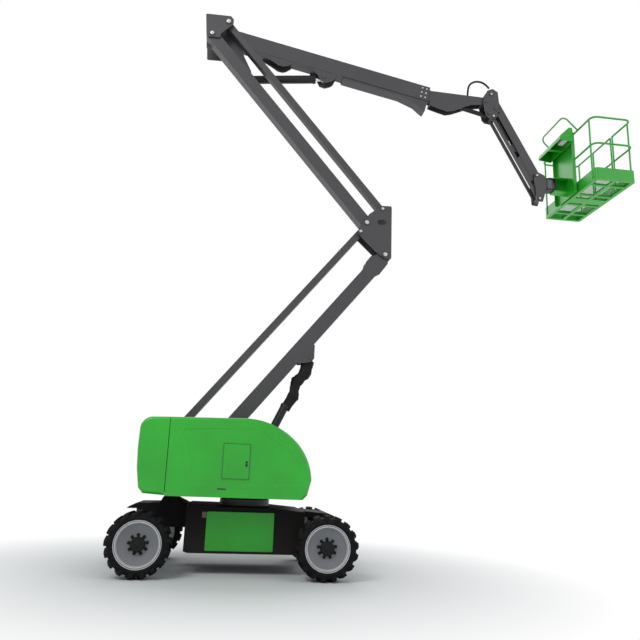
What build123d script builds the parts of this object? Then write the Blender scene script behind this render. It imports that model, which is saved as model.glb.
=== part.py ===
from build123d import *
from math import cos, radians, sin
import os

# Articulating boom lift: four-wheel chassis, slewing turret, two-stage parallelogram riser,
# telescopic main boom, jib and rotating work basket, in millimetres and degrees.
# +X points towards the basket and +Z up. The origin is on the ground, midway between the
# axles and on the centreline. Places on the machine's side view are (x, z) pairs.

# ---------------------------------------------------------------- driving dimensions
# fits and common hardware
PIN_FIT = 0.08            # radial clearance of a pin in its bore
SIDE_GAP = 10             # between a moving arm and the plate beside it
SKIN_GAP = 8              # between covers and what they close on
PLATE = 20                # boom and knuckle plates
HEAD = 12                 # pin heads
HEAD_GROWTH = 16          # a head's radius over its pin's

# running gear
WHEELBASE = 2500
TYRE_R = 431
TYRE_W = 310
TYRE_CARCASS_R = 405
RIM_FLANGE_R = 311
RIM_SEAT_R = 292
RIM_WELL_R = 262
RIM_W = 250
DISC_T = 16
DISC_OUT = 35             # the disc's flat, outboard of the wheel's middle
DISH = 42                 # how far the disc is dished outboard towards its edge
HUB_R = 99
HUB_OUT = 112             # the hub's nose, outboard of the wheel's middle
HUB_FLANGE_R = 140
SPINDLE_R = 50
WHEEL_Y = 1045            # wheel's middle from the centreline
KINGPIN_Y = 800
KINGPIN_R = 30
LUGS = 15                 # tread lugs on each shoulder
LUG_LENGTH = 130
LUG_WIDTH = 58
LUG_SLANT = 24
LUG_HEIGHT = 40
BEAD_OVERHANG = 12

# chassis
FRAME_W = 800             # over the arms that reach out to the axles
FRAME_REAR = -1540
FRAME_FRONT = 1450
FRAME_TOP = 905
FRAME_BOTTOM = 290
HUMP_TOP = 1015           # a stop for the turret's tail, over the steer axle
ARM_UNDER_REAR = 842
ARM_UNDER_FRONT = 780
BELLY_X = (-690, 975)
BELLY_W = 1440
COVER_X = (-400, 540)
COVER_Z = (325, 845)
COVER_T = 15
AXLE_SIZE = 170
EAR = (1450, 300, 600)    # a tie-down eye, the same at each corner
EAR_R = 55
EAR_BORE_R = 25
EAR_T = 30

# slewing ring and turret
SLEW_X = 130
RING_R = 370
RING_BOTTOM = 912
RING_SPLIT = 1000
RING_GAP = 4
BASE_BOTTOM = 1092
BASE_T = 40
TAIL_X = -1380
COUNTERWEIGHT_FRONT = -970
FRONT_X = 1000
HOOD_HALF_W = 1100
CHANNEL_HALF_W = 345      # the riser's channel between the two hoods
HOOD_BOTTOM = 1050
HOOD_TOP = 2128
HOOD_WALL = 12
HOOD_INNER = 365
HOOD_ROUND = 45           # the moulded edge round a hood's side
PANEL_SUNK = 6            # the hood's large sunk panel
HINGE_R = 13

# riser: two parallelogram stages that fold on each other
RISER_Y = -155
ARM_W = 205
ARM_DEPTH = 225
ARM_WALL = 8
LINK_DEPTH = 110
LINK_W = 130
LINK_WALL = 8
TUBE_DEPTH = 200
TUBE_WALL = 8
LOWER_LEN = 4450
UPPER_LEN = 4300
LOWER_ANGLE = 51.2
UPPER_ANGLE = 49.35       # above the horizontal, leaning back
ARM_PIN_R = 35
LINK_PIN_R = 25
BOSS = 24                 # boss wall round a bore

# main boom, beside the riser
BOOM_Y = 155
BOOM_ANGLE = -11
BOOM_W = 220
BOOM_TOP = 107            # above the pivot, across the boom's own line
BOOM_BOTTOM = -183
BOOM_MOUTH = 3800
BOOM_WALL = 8
INNER_DEPTH = 214
INNER_W = 160
INNER_WALL = 7
INNER_TAIL = 950
BOOM_PIN_R = 40
NOSE_PIN = (4866, 175)
NOSE_PIN_R = 28
BOOM_LUG = (1846, -287)
BOOM_LUG_REAR = (1020, -264)

# jib
JIB_ANGLE = -62
JIB_LEN = 1780
JIB_W = 150
JIB_DEPTH = 160
JIB_LINK_DEPTH = 62
JIB_PIN_R = 22

# basket
ROTATOR_OUT = 280         # its axis, out from the jib's end pin
BASKET_OUT = 380          # the inner rail's line, out from the rotator's axis
BASKET_DEPTH = 730
BASKET_Y = (-770, 1080)
BASKET_DROP = 378         # the basket's underside, below the jib's end pin
BASKET_H = 1200
FLOOR_H = 50
TOE_H = 165
RAIL_R = 17
POST_R = 15
RAIL_CORNER = 110


# ---------------------------------------------------------------- places
def step(start, length, angle):
    """The place reached from a place by a length at an angle above +X."""
    return (start[0] + length * cos(radians(angle)), start[1] + length * sin(radians(angle)))


def offset_by(start, move):
    return (start[0] + move[0], start[1] + move[1])


def along(start, angle, place):
    """A place given along and across a piece's own line, in the machine's side view."""
    return step(step(start, place[0], angle), place[1], angle + 90)


ARM_FOOT = (-590, 1520)
LINK_OFFSET = (-422, 373)         # link pin from arm pin, the same at both ends
MID_TUBE_OFFSET = (-319, 540)     # upper tube's pin on the knuckle, from the lower arm's
UPPER_OFFSET = (267, 270)         # upper link pin from upper tube pin
LINK_FOOT = offset_by(ARM_FOOT, LINK_OFFSET)
ARM_HEAD = step(ARM_FOOT, LOWER_LEN, LOWER_ANGLE)
LINK_HEAD = offset_by(ARM_HEAD, LINK_OFFSET)
TUBE_FOOT = offset_by(ARM_HEAD, MID_TUBE_OFFSET)
UPLINK_FOOT = offset_by(TUBE_FOOT, UPPER_OFFSET)
UPPER_DIR = 180 - UPPER_ANGLE
TUBE_HEAD = step(TUBE_FOOT, UPPER_LEN, UPPER_DIR)
BOOM_PIVOT = offset_by(TUBE_HEAD, UPPER_OFFSET)

# plates beside the riser's arms, as (low y, high y)
NEAR_PLATE = (RISER_Y - ARM_W / 2 - SIDE_GAP - PLATE, RISER_Y - ARM_W / 2 - SIDE_GAP)
MID_PLATE = (RISER_Y + ARM_W / 2 + SIDE_GAP, RISER_Y + ARM_W / 2 + SIDE_GAP + PLATE)
FAR_PLATE = (BOOM_Y + BOOM_W / 2 + SIDE_GAP, BOOM_Y + BOOM_W / 2 + SIDE_GAP + PLATE)

RISER_CYL_FOOT = (138, 1300)
RISER_CYL_ON_ARM = (2321, -212)   # along and below the lower arm's line
RISER_CYL_HEAD = along(ARM_FOOT, LOWER_ANGLE, RISER_CYL_ON_ARM)
BOOM_CYL_FOOT = offset_by(BOOM_PIVOT, (375, -821))
BOOM_CYL_HEAD = along(BOOM_PIVOT, BOOM_ANGLE, BOOM_LUG)
NOSE = along(BOOM_PIVOT, BOOM_ANGLE, NOSE_PIN)
JIB_TOP = offset_by(NOSE, (120, 146))
JIB_LINK_TOP = offset_by(NOSE, (152, -308))
JIB_END = step(JIB_TOP, JIB_LEN, JIB_ANGLE)
JIB_LINK_END = step(JIB_LINK_TOP, JIB_LEN, JIB_ANGLE)
SLAVE_ON_BOOM = (4020, -40)       # the levelling cylinder's rod eye, inside the inner boom
SLAVE_HEAD = along(BOOM_PIVOT, BOOM_ANGLE, SLAVE_ON_BOOM)
SLAVE_FOOT = offset_by(NOSE, (60, -255))
JIB_CYL_FOOT = offset_by(NOSE, (201, -143))
JIB_CYL_ON_ARM = (1100, -100)
JIB_CYL_HEAD = along(JIB_TOP, JIB_ANGLE, JIB_CYL_ON_ARM)
ROTATOR = (JIB_END[0] + ROTATOR_OUT, BOOM_Y)    # the basket's vertical axis, as (x, y)
BASKET_X = (ROTATOR[0] + BASKET_OUT, ROTATOR[0] + BASKET_OUT + BASKET_DEPTH)
BASKET_FLOOR = JIB_END[1] - BASKET_DROP


# ---------------------------------------------------------------- common shapes
def side_plane(place, y, angle=0):
    """A sketch plane facing -Y: its x runs at the angle above +X, its y to the left of that."""
    x_dir = (cos(radians(angle)), 0, sin(radians(angle)))
    return Plane(origin=(place[0], y, place[1]), x_dir=x_dir, z_dir=(0, -1, 0))


def angle_to(start, end):
    line = Vector(end[0] - start[0], end[1] - start[1])
    return Vector(1, 0, 0).get_signed_angle(line, Vector(0, 0, 1))


def reach(start, end):
    return Vector(end[0] - start[0], end[1] - start[1]).length


def bores(places, radius, width):
    with Locations(*places):
        Cylinder(radius, width, mode=Mode.SUBTRACT)


def box_arm(length, depth, width, wall, foot_pin, head_pin):
    """A box-section arm between two pins, open-ended, with a boss and a bore at each pin."""
    ends = ((0, 0), (length, 0))
    with Locations((length / 2, 0)):
        Box(length, depth, width)
    with Locations(*ends):
        Cylinder(depth / 2, width)
    with Locations((length / 2, 0)):
        Box(length + 2 * depth, depth - 2 * wall, width - 2 * wall, mode=Mode.SUBTRACT)
    for place, pin_r in zip(ends, (foot_pin, head_pin)):
        with Locations(place):
            Cylinder(pin_r + BOSS, width)
        bores([place], pin_r + PIN_FIT, width + 2)


def plates(spans, outline, corner, holes=(), place=(0, 0), angle=0):
    """Like plates over several spans of y, with round holes, drawn from a place at an angle."""
    for low, high in spans:
        with BuildSketch(side_plane(place, high, angle)) as plate:
            Polygon(*outline, align=None)
            fillet(vertices(), corner)
            for hole, radius in holes:
                with Locations(hole):
                    Circle(radius, mode=Mode.SUBTRACT)
        extrude(plate.sketch, amount=high - low)


def disc(place, radius, low, high):
    """A round bar along y between two values of y."""
    with BuildSketch(side_plane(place, high)) as end:
        Circle(radius)
    extrude(end.sketch, amount=high - low)


def cross_pin(place, radius, low, high, near_head=True):
    """A pin along y with a head outside each end plate, or at its far end only."""
    disc(place, radius, low, high)
    if near_head:
        disc(place, radius + HEAD_GROWTH, low - HEAD, low)
    disc(place, radius + HEAD_GROWTH, high, high + HEAD)


def stub_pins(place, radius, low, high, depth, head=HEAD):
    """Two short pin ends, each seated in its own lug with a head outside it."""
    disc(place, radius + HEAD_GROWTH, low - head, low)
    disc(place, radius, low, low + depth)
    disc(place, radius, high - depth, high)
    disc(place, radius + HEAD_GROWTH, high, high + head)


def barrel(length, radius, bore, rod, eye_r, eye_w, pin_r):
    """A hydraulic barrel along local x, its eye on the origin and its gland at the far end."""
    along_x = (0, 90, 0)
    seat = (Align.CENTER, Align.CENTER, Align.MIN)
    gland = 45
    foot = eye_r + 20
    Cylinder(eye_r, eye_w)
    with Locations((eye_r * 0.7, 0, 0)):
        Cylinder(radius, length - eye_r * 0.7, rotation=along_x, align=seat)
    with Locations((length - gland, 0, 0)):
        Cylinder(radius + 6, gland, rotation=along_x, align=seat)
    with Locations((foot, 0, 0)):
        Cylinder(bore, length - foot - gland, rotation=along_x, align=seat, mode=Mode.SUBTRACT)
        Cylinder(rod + PIN_FIT, length, rotation=along_x, align=seat, mode=Mode.SUBTRACT)
    bores([(0, 0)], pin_r + PIN_FIT, eye_w + 2)


def ram(length, tail, rod, bore, eye_r, eye_w, pin_r):
    """A piston rod on the barrel's axis, its piston at the tail and its eye at the length."""
    along_x = (0, 90, 0)
    seat = (Align.CENTER, Align.CENTER, Align.MIN)
    with Locations((tail, 0, 0)):
        Cylinder(rod, length - tail - eye_r * 0.7, rotation=along_x, align=seat)
        Cylinder(bore - 0.5, 35, rotation=along_x, align=seat)
    with Locations((length, 0, 0)):
        Cylinder(eye_r, eye_w)
    bores([(length, 0)], pin_r, eye_w + 2)


def write(piece, node):
    piece.part.label = node
    export_step(piece.part, f"parts/{node}.step")


# ---------------------------------------------------------------- chassis
AXLE_Z = TYRE_R
AXLE_TOP = AXLE_Z + AXLE_SIZE / 2
HALF_BASE = WHEELBASE / 2
SPINDLE_END = WHEEL_Y + 60

with BuildPart() as chassis_frame:
    # two arms that reach over the axles, and stand on them
    with BuildSketch(Plane.XZ):
        Polygon(
            (FRAME_REAR, ARM_UNDER_REAR), (FRAME_REAR + 20, ARM_UNDER_REAR + 20),
            (FRAME_REAR + 130, FRAME_TOP + 12),
            (-1083, FRAME_TOP + 20), (-1042, HUMP_TOP), (-917, HUMP_TOP), (-705, FRAME_TOP + 12),
            (510, FRAME_TOP),
            (742, FRAME_TOP - 19), (FRAME_FRONT - 70, FRAME_TOP - 67), (FRAME_FRONT, FRAME_TOP - 95),
            (FRAME_FRONT, ARM_UNDER_FRONT - 15), (HALF_BASE + 150, ARM_UNDER_FRONT - 15),
            (HALF_BASE + 150, AXLE_TOP),
            (HALF_BASE - 100, AXLE_TOP), (HALF_BASE - 100, ARM_UNDER_FRONT),
            (BELLY_X[1] - 5, ARM_UNDER_FRONT),
            (BELLY_X[1] - 5, FRAME_BOTTOM + 5), (BELLY_X[0] + 5, FRAME_BOTTOM + 5), (BELLY_X[0] + 5, 600),
            (-HALF_BASE + 100, 600), (-HALF_BASE + 100, AXLE_TOP), (-HALF_BASE - 150, AXLE_TOP),
            (-HALF_BASE - 150, ARM_UNDER_REAR), align=None)
    extrude(amount=FRAME_W / 2, both=True)
    # the wide middle of the frame
    with BuildSketch(Plane.XZ):
        Polygon(
            (BELLY_X[0], FRAME_BOTTOM + 20), (BELLY_X[0], FRAME_TOP + 11), (510, FRAME_TOP),
            (742, FRAME_TOP - 19),
            (BELLY_X[1], FRAME_TOP - 37), (BELLY_X[1], FRAME_BOTTOM + 40), (BELLY_X[1] - 60, FRAME_BOTTOM),
            (BELLY_X[0] + 60, FRAME_BOTTOM), align=None)
    extrude(amount=BELLY_W / 2, both=True)
    # seat of the slewing ring
    with Locations((SLEW_X, 0, RING_BOTTOM + 50)):
        Cylinder(RING_R + 5, 100, mode=Mode.SUBTRACT)
    # tie-down eyes, a pair at each end of the frame
    for end in (-1, 1):
        for side in (-1, 1):
            with Locations((end * EAR[0], side * EAR[1], EAR[2])):
                Cylinder(EAR_R, EAR_T)
                with Locations((-end * EAR_R, 0, 0)):
                    Box(2 * EAR_R, 2 * EAR_R, EAR_T)
                Cylinder(EAR_BORE_R, EAR_T + 2, mode=Mode.SUBTRACT)

with BuildPart() as side_covers:
    for side in (-1, 1):
        with BuildSketch(Plane.XZ.offset(-side * (BELLY_W + COVER_T) / 2)):
            with Locations((sum(COVER_X) / 2, sum(COVER_Z) / 2)):
                RectangleRounded(COVER_X[1] - COVER_X[0], COVER_Z[1] - COVER_Z[0], 20)
        extrude(amount=COVER_T / 2, both=True)

with BuildPart() as drive_axle:
    with Locations((HALF_BASE, 0, AXLE_Z)):
        Box(AXLE_SIZE, 2 * (WHEEL_Y - TYRE_W / 2 - 20), AXLE_SIZE)
        for side in (-1, 1):
            with Locations((0, side * (WHEEL_Y - TYRE_W / 2 - 20), 0)):
                Cylinder(130, 120, rotation=(90, 0, 0))
        Cylinder(SPINDLE_R, 2 * SPINDLE_END, rotation=(90, 0, 0))

with BuildPart() as steer_axle:
    with Locations((-HALF_BASE, 0, AXLE_Z)):
        Box(AXLE_SIZE, 2 * (KINGPIN_Y - 20), AXLE_SIZE)
        for side in (-1, 1):
            with Locations((0, side * KINGPIN_Y, 0)):
                Cylinder(65, AXLE_SIZE - 20)
                Cylinder(KINGPIN_R + PIN_FIT, AXLE_SIZE, mode=Mode.SUBTRACT)

KNUCKLE_GAP = 5
knuckles = {}
for name, side in (("near", -1), ("far", 1)):
    with BuildPart() as knuckle:
        with Locations((-HALF_BASE, side * (KINGPIN_Y + 30), AXLE_Z)):
            for level in (-1, 1):
                with Locations((0, 0, level * (AXLE_SIZE / 2 + KNUCKLE_GAP + 12))):
                    Box(130, 190, 24)
            with Locations((0, side * 80, 0)):
                Box(130, 30, AXLE_SIZE + 2 * KNUCKLE_GAP + 48)
        with Locations((-HALF_BASE, side * KINGPIN_Y, AXLE_Z)):
            Cylinder(KINGPIN_R, AXLE_SIZE + 2 * KNUCKLE_GAP + 48)
        with Locations((-HALF_BASE, side * (SPINDLE_END - 100), AXLE_Z)):
            Cylinder(SPINDLE_R, 200, rotation=(90, 0, 0))
    knuckles[name] = knuckle

with BuildPart() as slew_ring:
    with Locations((SLEW_X, 0, (RING_BOTTOM + RING_SPLIT) / 2)):
        Cylinder(RING_R, RING_SPLIT - RING_BOTTOM)

# ---------------------------------------------------------------- wheels
with BuildPart() as tyre:
    half = TYRE_W / 2
    bead = RIM_W / 2 - BEAD_OVERHANG
    shoulder = (half, 372)
    tread = (half - 30, TYRE_CARCASS_R)
    # flat-sided carcass: each band goes from one ring to the next, and the sidewalls are hollowed out
    for start, end, mode in (
        ((-shoulder[0], shoulder[1]), (-tread[0], tread[1]), Mode.ADD),
        ((-tread[0], tread[1]), tread, Mode.ADD),
        (tread, shoulder, Mode.ADD),
        ((-shoulder[0], shoulder[1]), (-bead, RIM_FLANGE_R + 4), Mode.SUBTRACT),
        (shoulder, (bead, RIM_FLANGE_R + 4), Mode.SUBTRACT),
    ):
        for y, ring_r in (start, end):
            with BuildSketch(Plane.XZ.offset(-y)):
                RegularPolygon(ring_r, 2 * LUGS)
        loft(ruled=True, mode=mode)
    with Locations(Location((0, 0, 0), (90, 0, 0))):
        Cylinder(RIM_SEAT_R, 2 * bead, mode=Mode.SUBTRACT)
    # lugs that run in from each shoulder, set half a pitch apart
    for side in (-1, 1):
        for lug in range(LUGS):
            turn = 360 * (lug + 0.25 * side) / LUGS
            with Locations(Location((0, 0, 0), (0, turn, 0))):
                lug_place = (0, side * (half - LUG_LENGTH / 2 + 2), TYRE_R - LUG_HEIGHT / 2 - 3)
                with Locations(Location(lug_place, (0, 0, side * LUG_SLANT))):
                    Box(LUG_WIDTH, LUG_LENGTH, LUG_HEIGHT)

with BuildPart() as rim:
    flange = RIM_W / 2
    seat_in = RIM_SEAT_R - 12
    well_in = RIM_WELL_R - 12
    with BuildSketch(Plane.YZ):
        Polygon(
            (-flange, RIM_FLANGE_R), (-flange, seat_in), (-60, well_in), (60, well_in),
            (flange, seat_in), (flange, RIM_FLANGE_R), (flange - 10, RIM_FLANGE_R),
            (flange - 10, RIM_SEAT_R - 0.3), (62, RIM_SEAT_R - 0.3), (62, RIM_WELL_R), (-62, RIM_WELL_R),
            (-62, RIM_SEAT_R - 0.3), (-flange + 10, RIM_SEAT_R - 0.3), (-flange + 10, RIM_FLANGE_R),
            align=None)
        # the dished disc that bolts to the hub
        Polygon(
            (-DISC_OUT, HUB_R + 1), (-DISC_OUT, HUB_FLANGE_R + 10), (-DISC_OUT - DISH, RIM_WELL_R + 6),
            (-DISC_OUT - DISH - DISC_T, RIM_WELL_R + 6), (-DISC_OUT - DISC_T, HUB_FLANGE_R + 10),
            (-DISC_OUT - DISC_T, HUB_R + 1), align=None)
    revolve(axis=Axis.Y)

with BuildPart() as hub:
    with BuildSketch(Plane.YZ):
        Polygon(
            (-12, SPINDLE_R + PIN_FIT), (-12, HUB_FLANGE_R), (-DISC_OUT, HUB_FLANGE_R), (-DISC_OUT, HUB_R),
            (-HUB_OUT + 14, HUB_R), (-HUB_OUT, HUB_R - 14), (-HUB_OUT, 0), (-HUB_OUT + 40, 0),
            (-HUB_OUT + 40, SPINDLE_R + PIN_FIT), align=None)
    revolve(axis=Axis.Y)

wheels = {}
for name, x, side in (
    ("steer_near", -HALF_BASE, -1), ("steer_far", -HALF_BASE, 1),
    ("drive_near", HALF_BASE, -1), ("drive_far", HALF_BASE, 1),
):
    for kind, master in (("tyre", tyre), ("rim", rim), ("hub", hub)):
        with BuildPart() as placed:
            with Locations(Location((x, side * WHEEL_Y, AXLE_Z), (0, 0, 90 + side * 90))):
                add(master.part)
        wheels[f"{kind}_{name}"] = placed

# ---------------------------------------------------------------- turret
FLOOR = BASE_BOTTOM + BASE_T
BASE_FRONT = FRONT_X - 130
TURRET_MIDDLE = (COUNTERWEIGHT_FRONT + BASE_FRONT) / 2
CYL_LUG = (78, 102)               # half spans of the riser cylinder's lugs, about the riser
WALL_T = 10
WALL_TOP = HOOD_TOP - 88
HINGE_Y = HOOD_INNER + HINGE_R + 2
HINGE_Z = HOOD_TOP - 52
HINGE_PIN_R = 6
HINGE_W = 70
HINGES = (-800, -120)

with BuildPart() as turntable:
    with Locations((SLEW_X, 0, (RING_SPLIT + RING_GAP + BASE_BOTTOM) / 2)):
        Cylinder(RING_R - 20, BASE_BOTTOM - RING_SPLIT - RING_GAP)
    with Locations((TURRET_MIDDLE, 0, BASE_BOTTOM + BASE_T / 2)):
        Box(BASE_FRONT - COUNTERWEIGHT_FRONT, 2 * (HOOD_HALF_W - 60), BASE_T)
    with Locations((COUNTERWEIGHT_FRONT - 75, 0, BASE_BOTTOM + BASE_T / 2)):
        Box(170, 2 * (CHANNEL_HALF_W - 15), BASE_T)
    # cheek plates that carry the feet of the lower arm and its link
    plates(
        [NEAR_PLATE, MID_PLATE],
        [(-1120, FLOOR - 5), (-1120, 1960), (-1070, 2000), (-960, 2000), (-450, 1610),
         (-380, FLOOR - 5)], 18)
    cross_pin(ARM_FOOT, ARM_PIN_R, NEAR_PLATE[0], MID_PLATE[1])
    cross_pin(LINK_FOOT, LINK_PIN_R, NEAR_PLATE[0], MID_PLATE[1])
    # side walls of the channel, which carry the hoods' hinges
    plates(
        [(-CHANNEL_HALF_W - WALL_T, -CHANNEL_HALF_W), (CHANNEL_HALF_W, CHANNEL_HALF_W + WALL_T)],
        [(COUNTERWEIGHT_FRONT + 10, FLOOR - 5), (COUNTERWEIGHT_FRONT + 10, WALL_TOP), (230, WALL_TOP),
         (470, WALL_TOP - 80), (760, WALL_TOP - 300), (860, WALL_TOP - 540),
         (BASE_FRONT - 5, FLOOR - 5)], 18)
    for side in (-1, 1):
        for x in HINGES:
            for end in (-1, 1):
                with Locations((x + end * (HINGE_W / 2 + 8), side * HINGE_Y, HINGE_Z)):
                    Cylinder(HINGE_R - 1, 12, rotation=(0, 90, 0))
                    with Locations((0, 0, -20)):
                        Box(12, 2 * HINGE_R - 2, 40)
                    with Locations((0, -side * 20, -40)):
                        Box(12, 64, 16)
            with Locations((x, side * HINGE_Y, HINGE_Z)):
                Cylinder(HINGE_PIN_R, HINGE_W + 28, rotation=(0, 90, 0))
    # lugs of the riser cylinder's foot
    plates(
        [(RISER_Y - CYL_LUG[1], RISER_Y - CYL_LUG[0]), (RISER_Y + CYL_LUG[0], RISER_Y + CYL_LUG[1])],
        [(40, FLOOR - 5), (85, 1360), (215, 1360), (260, FLOOR - 5)], 18)
    cross_pin(RISER_CYL_FOOT, 30, RISER_Y - CYL_LUG[1], RISER_Y + CYL_LUG[1])

SEAM = COUNTERWEIGHT_FRONT - SKIN_GAP
with BuildPart() as counterweight:
    with BuildSketch(Plane.XZ):
        with BuildLine():
            Polyline((SEAM, HOOD_BOTTOM + 8), (TAIL_X + 118, HOOD_BOTTOM + 26),
                (TAIL_X + 53, HOOD_BOTTOM + 100),
                     (TAIL_X + 13, HOOD_BOTTOM + 356), (TAIL_X, HOOD_BOTTOM + 630),
                     (TAIL_X + 6, HOOD_TOP - 220))
            ThreePointArc((TAIL_X + 6, HOOD_TOP - 220), (TAIL_X + 60, HOOD_TOP - 78),
                (TAIL_X + 185, HOOD_TOP - 32))
            Polyline((TAIL_X + 185, HOOD_TOP - 32), (SEAM, HOOD_TOP - 24), (SEAM, HOOD_BOTTOM + 8))
        make_face()
    extrude(amount=HOOD_HALF_W, both=True)
    outer = edges().filter_by(lambda e: abs(abs(e.center().Y) - HOOD_HALF_W) < 1)
    fillet(outer.filter_by(lambda e: e.center().X < SEAM - 1), HOOD_ROUND)
    with Locations((SEAM, 0, 1700)):
        Box(340, 2 * CHANNEL_HALF_W, 1300, mode=Mode.SUBTRACT)

ENGINE = (900, 480, 600)
with BuildPart() as engine_block:
    with Locations((-250, 720, FLOOR + ENGINE[2] / 2)):
        Box(*ENGINE)

TANK = (700, 460, 560)
with BuildPart() as tank_block:
    with Locations((-500, -700, FLOOR + TANK[2] / 2)):
        Box(*TANK)

BROW = (806, HOOD_TOP - 327)      # where the hood's long top curve turns down into its nose
NOSE_POINT = (1008, HOOD_TOP - 808)


def hood_form(side, inset, rounding):
    """A hood's solid form, drawn inward by a wall; it runs on past the floor and the back."""
    back = COUNTERWEIGHT_FRONT - inset
    low = HOOD_BOTTOM - inset
    outside = side * (HOOD_HALF_W - inset)
    brow = offset_by(BROW, (-inset, -inset))
    nose_point = offset_by(NOSE_POINT, (-inset, 0))
    with BuildPart() as form:
        with BuildSketch(Plane.XZ.offset(-outside)) as profile:
            with BuildLine():
                Polyline((back, low), (back, HOOD_TOP - 24 - inset), (60, HOOD_TOP - inset))
                ThreePointArc((60, HOOD_TOP - inset), (470 - inset, HOOD_TOP - 86 - inset), brow)
                ThreePointArc(brow, (951 - inset, HOOD_TOP - 560), nose_point)
                Polyline(nose_point, (957 - inset, low + 66), (895 - inset, low), (back, low))
            make_face()
        extrude(profile.sketch, amount=side * (HOOD_HALF_W - HOOD_INNER + 2 * inset))
        outer = edges().filter_by(lambda e: abs(e.center().Y - outside) < 1 and e.center().X > back + 1)
        fillet(outer.filter_by(lambda e: e.center().Z > low + 1), rounding)
    return form.part


DOOR_X = (-222, 140)
DOOR_Z = (1300, 1770)
DOOR_T = 10
DOOR_LAP = 15                     # how far the door laps over its opening's edge
DOOR_Y = -HOOD_HALF_W + PANEL_SUNK - 2 - DOOR_T / 2
DOOR_PIN_R = 2.5
PANEL = [
    (-812, HOOD_TOP - 178), (156, HOOD_TOP - 124), (321, HOOD_TOP - 187), (706, HOOD_TOP - 442),
    (862, HOOD_TOP - 594), (890, HOOD_BOTTOM + 188), (-605, HOOD_BOTTOM + 157),
]
hoods = {}
for name, side in (("near", -1), ("far", 1)):
    with BuildPart() as hood:
        add(hood_form(side, 0, HOOD_ROUND))
        add(hood_form(side, HOOD_WALL, HOOD_ROUND - HOOD_WALL), mode=Mode.SUBTRACT)
        with BuildSketch(Plane.XZ.offset(-side * HOOD_HALF_W)):
            Polygon(*PANEL, align=None)
            fillet(vertices(), 60)
        extrude(amount=side * PANEL_SUNK, taper=40, mode=Mode.SUBTRACT)
        for x in HINGES:
            with Locations((x, side * HINGE_Y, HINGE_Z)):
                Cylinder(HINGE_R, HINGE_W, rotation=(0, 90, 0))
                with Locations((0, 0, 20)):
                    Box(HINGE_W, HINGE_R, 40)
                Cylinder(HINGE_PIN_R + PIN_FIT, HINGE_W + 2, rotation=(0, 90, 0), mode=Mode.SUBTRACT)
        if side < 0:
            with Locations((sum(DOOR_X) / 2, -HOOD_HALF_W, sum(DOOR_Z) / 2)):
                Box(DOOR_X[1] - DOOR_X[0] - 2 * DOOR_LAP, 60, DOOR_Z[1] - DOOR_Z[0] - 2 * DOOR_LAP,
                    mode=Mode.SUBTRACT)
            for z, end in ((DOOR_Z[0], -1), (DOOR_Z[1], 1)):
                with Locations((DOOR_X[0], DOOR_Y + 2, z + end * 10)):
                    Box(14, DOOR_T + 4, 14)
                with Locations((DOOR_X[0], DOOR_Y, z)):
                    Cylinder(DOOR_PIN_R, 30)
    hoods[name] = hood

with BuildPart() as access_door:
    with Locations((sum(DOOR_X) / 2, DOOR_Y, sum(DOOR_Z) / 2)):
        Box(DOOR_X[1] - DOOR_X[0], DOOR_T, DOOR_Z[1] - DOOR_Z[0])
    fillet(edges().filter_by(Axis.Y).group_by(Axis.X)[-1], 25)
    # rolled edge that turns on the hinge pins
    with Locations((DOOR_X[0], DOOR_Y, sum(DOOR_Z) / 2)):
        Cylinder(DOOR_T / 2, DOOR_Z[1] - DOOR_Z[0])
    for z in DOOR_Z:
        with Locations((DOOR_X[0], DOOR_Y, z)):
            Cylinder(DOOR_PIN_R + PIN_FIT, 40, mode=Mode.SUBTRACT)

CONTROL_Y = -1010
with BuildPart() as ground_controls:
    with Locations((sum(DOOR_X) / 2, CONTROL_Y, sum(DOOR_Z) / 2)):
        Box(DOOR_X[1] - DOOR_X[0] - 60, 60, DOOR_Z[1] - DOOR_Z[0] - 60)
    with Locations((sum(DOOR_X) / 2, CONTROL_Y + 20, (FLOOR + DOOR_Z[0] + 60) / 2)):
        Box(120, 20, DOOR_Z[0] + 60 - FLOOR)

# ---------------------------------------------------------------- riser
RISER_LUG_T = 22                  # lug plates flush with the lower arm's sides
RISER_SLOT = (1060, 2440)         # the arm's underside is open here for the lift cylinder

with BuildPart(side_plane(ARM_FOOT, RISER_Y, LOWER_ANGLE)) as lower_arm:
    box_arm(LOWER_LEN, ARM_DEPTH, ARM_W, ARM_WALL, ARM_PIN_R, ARM_PIN_R)
    # bracket under the arm that takes the lift cylinder's ram
    x, y = RISER_CYL_ON_ARM
    with Locations((sum(RISER_SLOT) / 2, -ARM_DEPTH / 2)):
        Box(RISER_SLOT[1] - RISER_SLOT[0], 4 * ARM_WALL, ARM_W - 2 * RISER_LUG_T, mode=Mode.SUBTRACT)
    arm_sides = [(RISER_Y - ARM_W / 2, RISER_Y - ARM_W / 2 + RISER_LUG_T),
                 (RISER_Y + ARM_W / 2 - RISER_LUG_T, RISER_Y + ARM_W / 2)]
    under = -ARM_DEPTH / 2
    plates(
        arm_sides,
        [(x - 240, under + 8), (x - 120, y - 5), (x - 60, y - 50), (x + 15, y - 55), (x + 134, y + 40),
         (x + 225, under + 8)], 20, place=ARM_FOOT, angle=LOWER_ANGLE)
    # cheeks that flare the arm's head
    plates(
        arm_sides,
        [(LOWER_LEN - 470, 85), (LOWER_LEN - 313, 155), (LOWER_LEN - 174, 160), (LOWER_LEN - 55, 75),
         (LOWER_LEN - 40, -100), (LOWER_LEN - 80, -135), (LOWER_LEN - 247, -142), (LOWER_LEN - 350, -105)],
        20, place=ARM_FOOT, angle=LOWER_ANGLE)
    stub_pins(RISER_CYL_HEAD, 30, RISER_Y - ARM_W / 2, RISER_Y + ARM_W / 2, RISER_LUG_T)

with BuildPart(side_plane(LINK_FOOT, RISER_Y, LOWER_ANGLE)) as lower_link:
    box_arm(LOWER_LEN, LINK_DEPTH, LINK_W, LINK_WALL, LINK_PIN_R, LINK_PIN_R)

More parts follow.
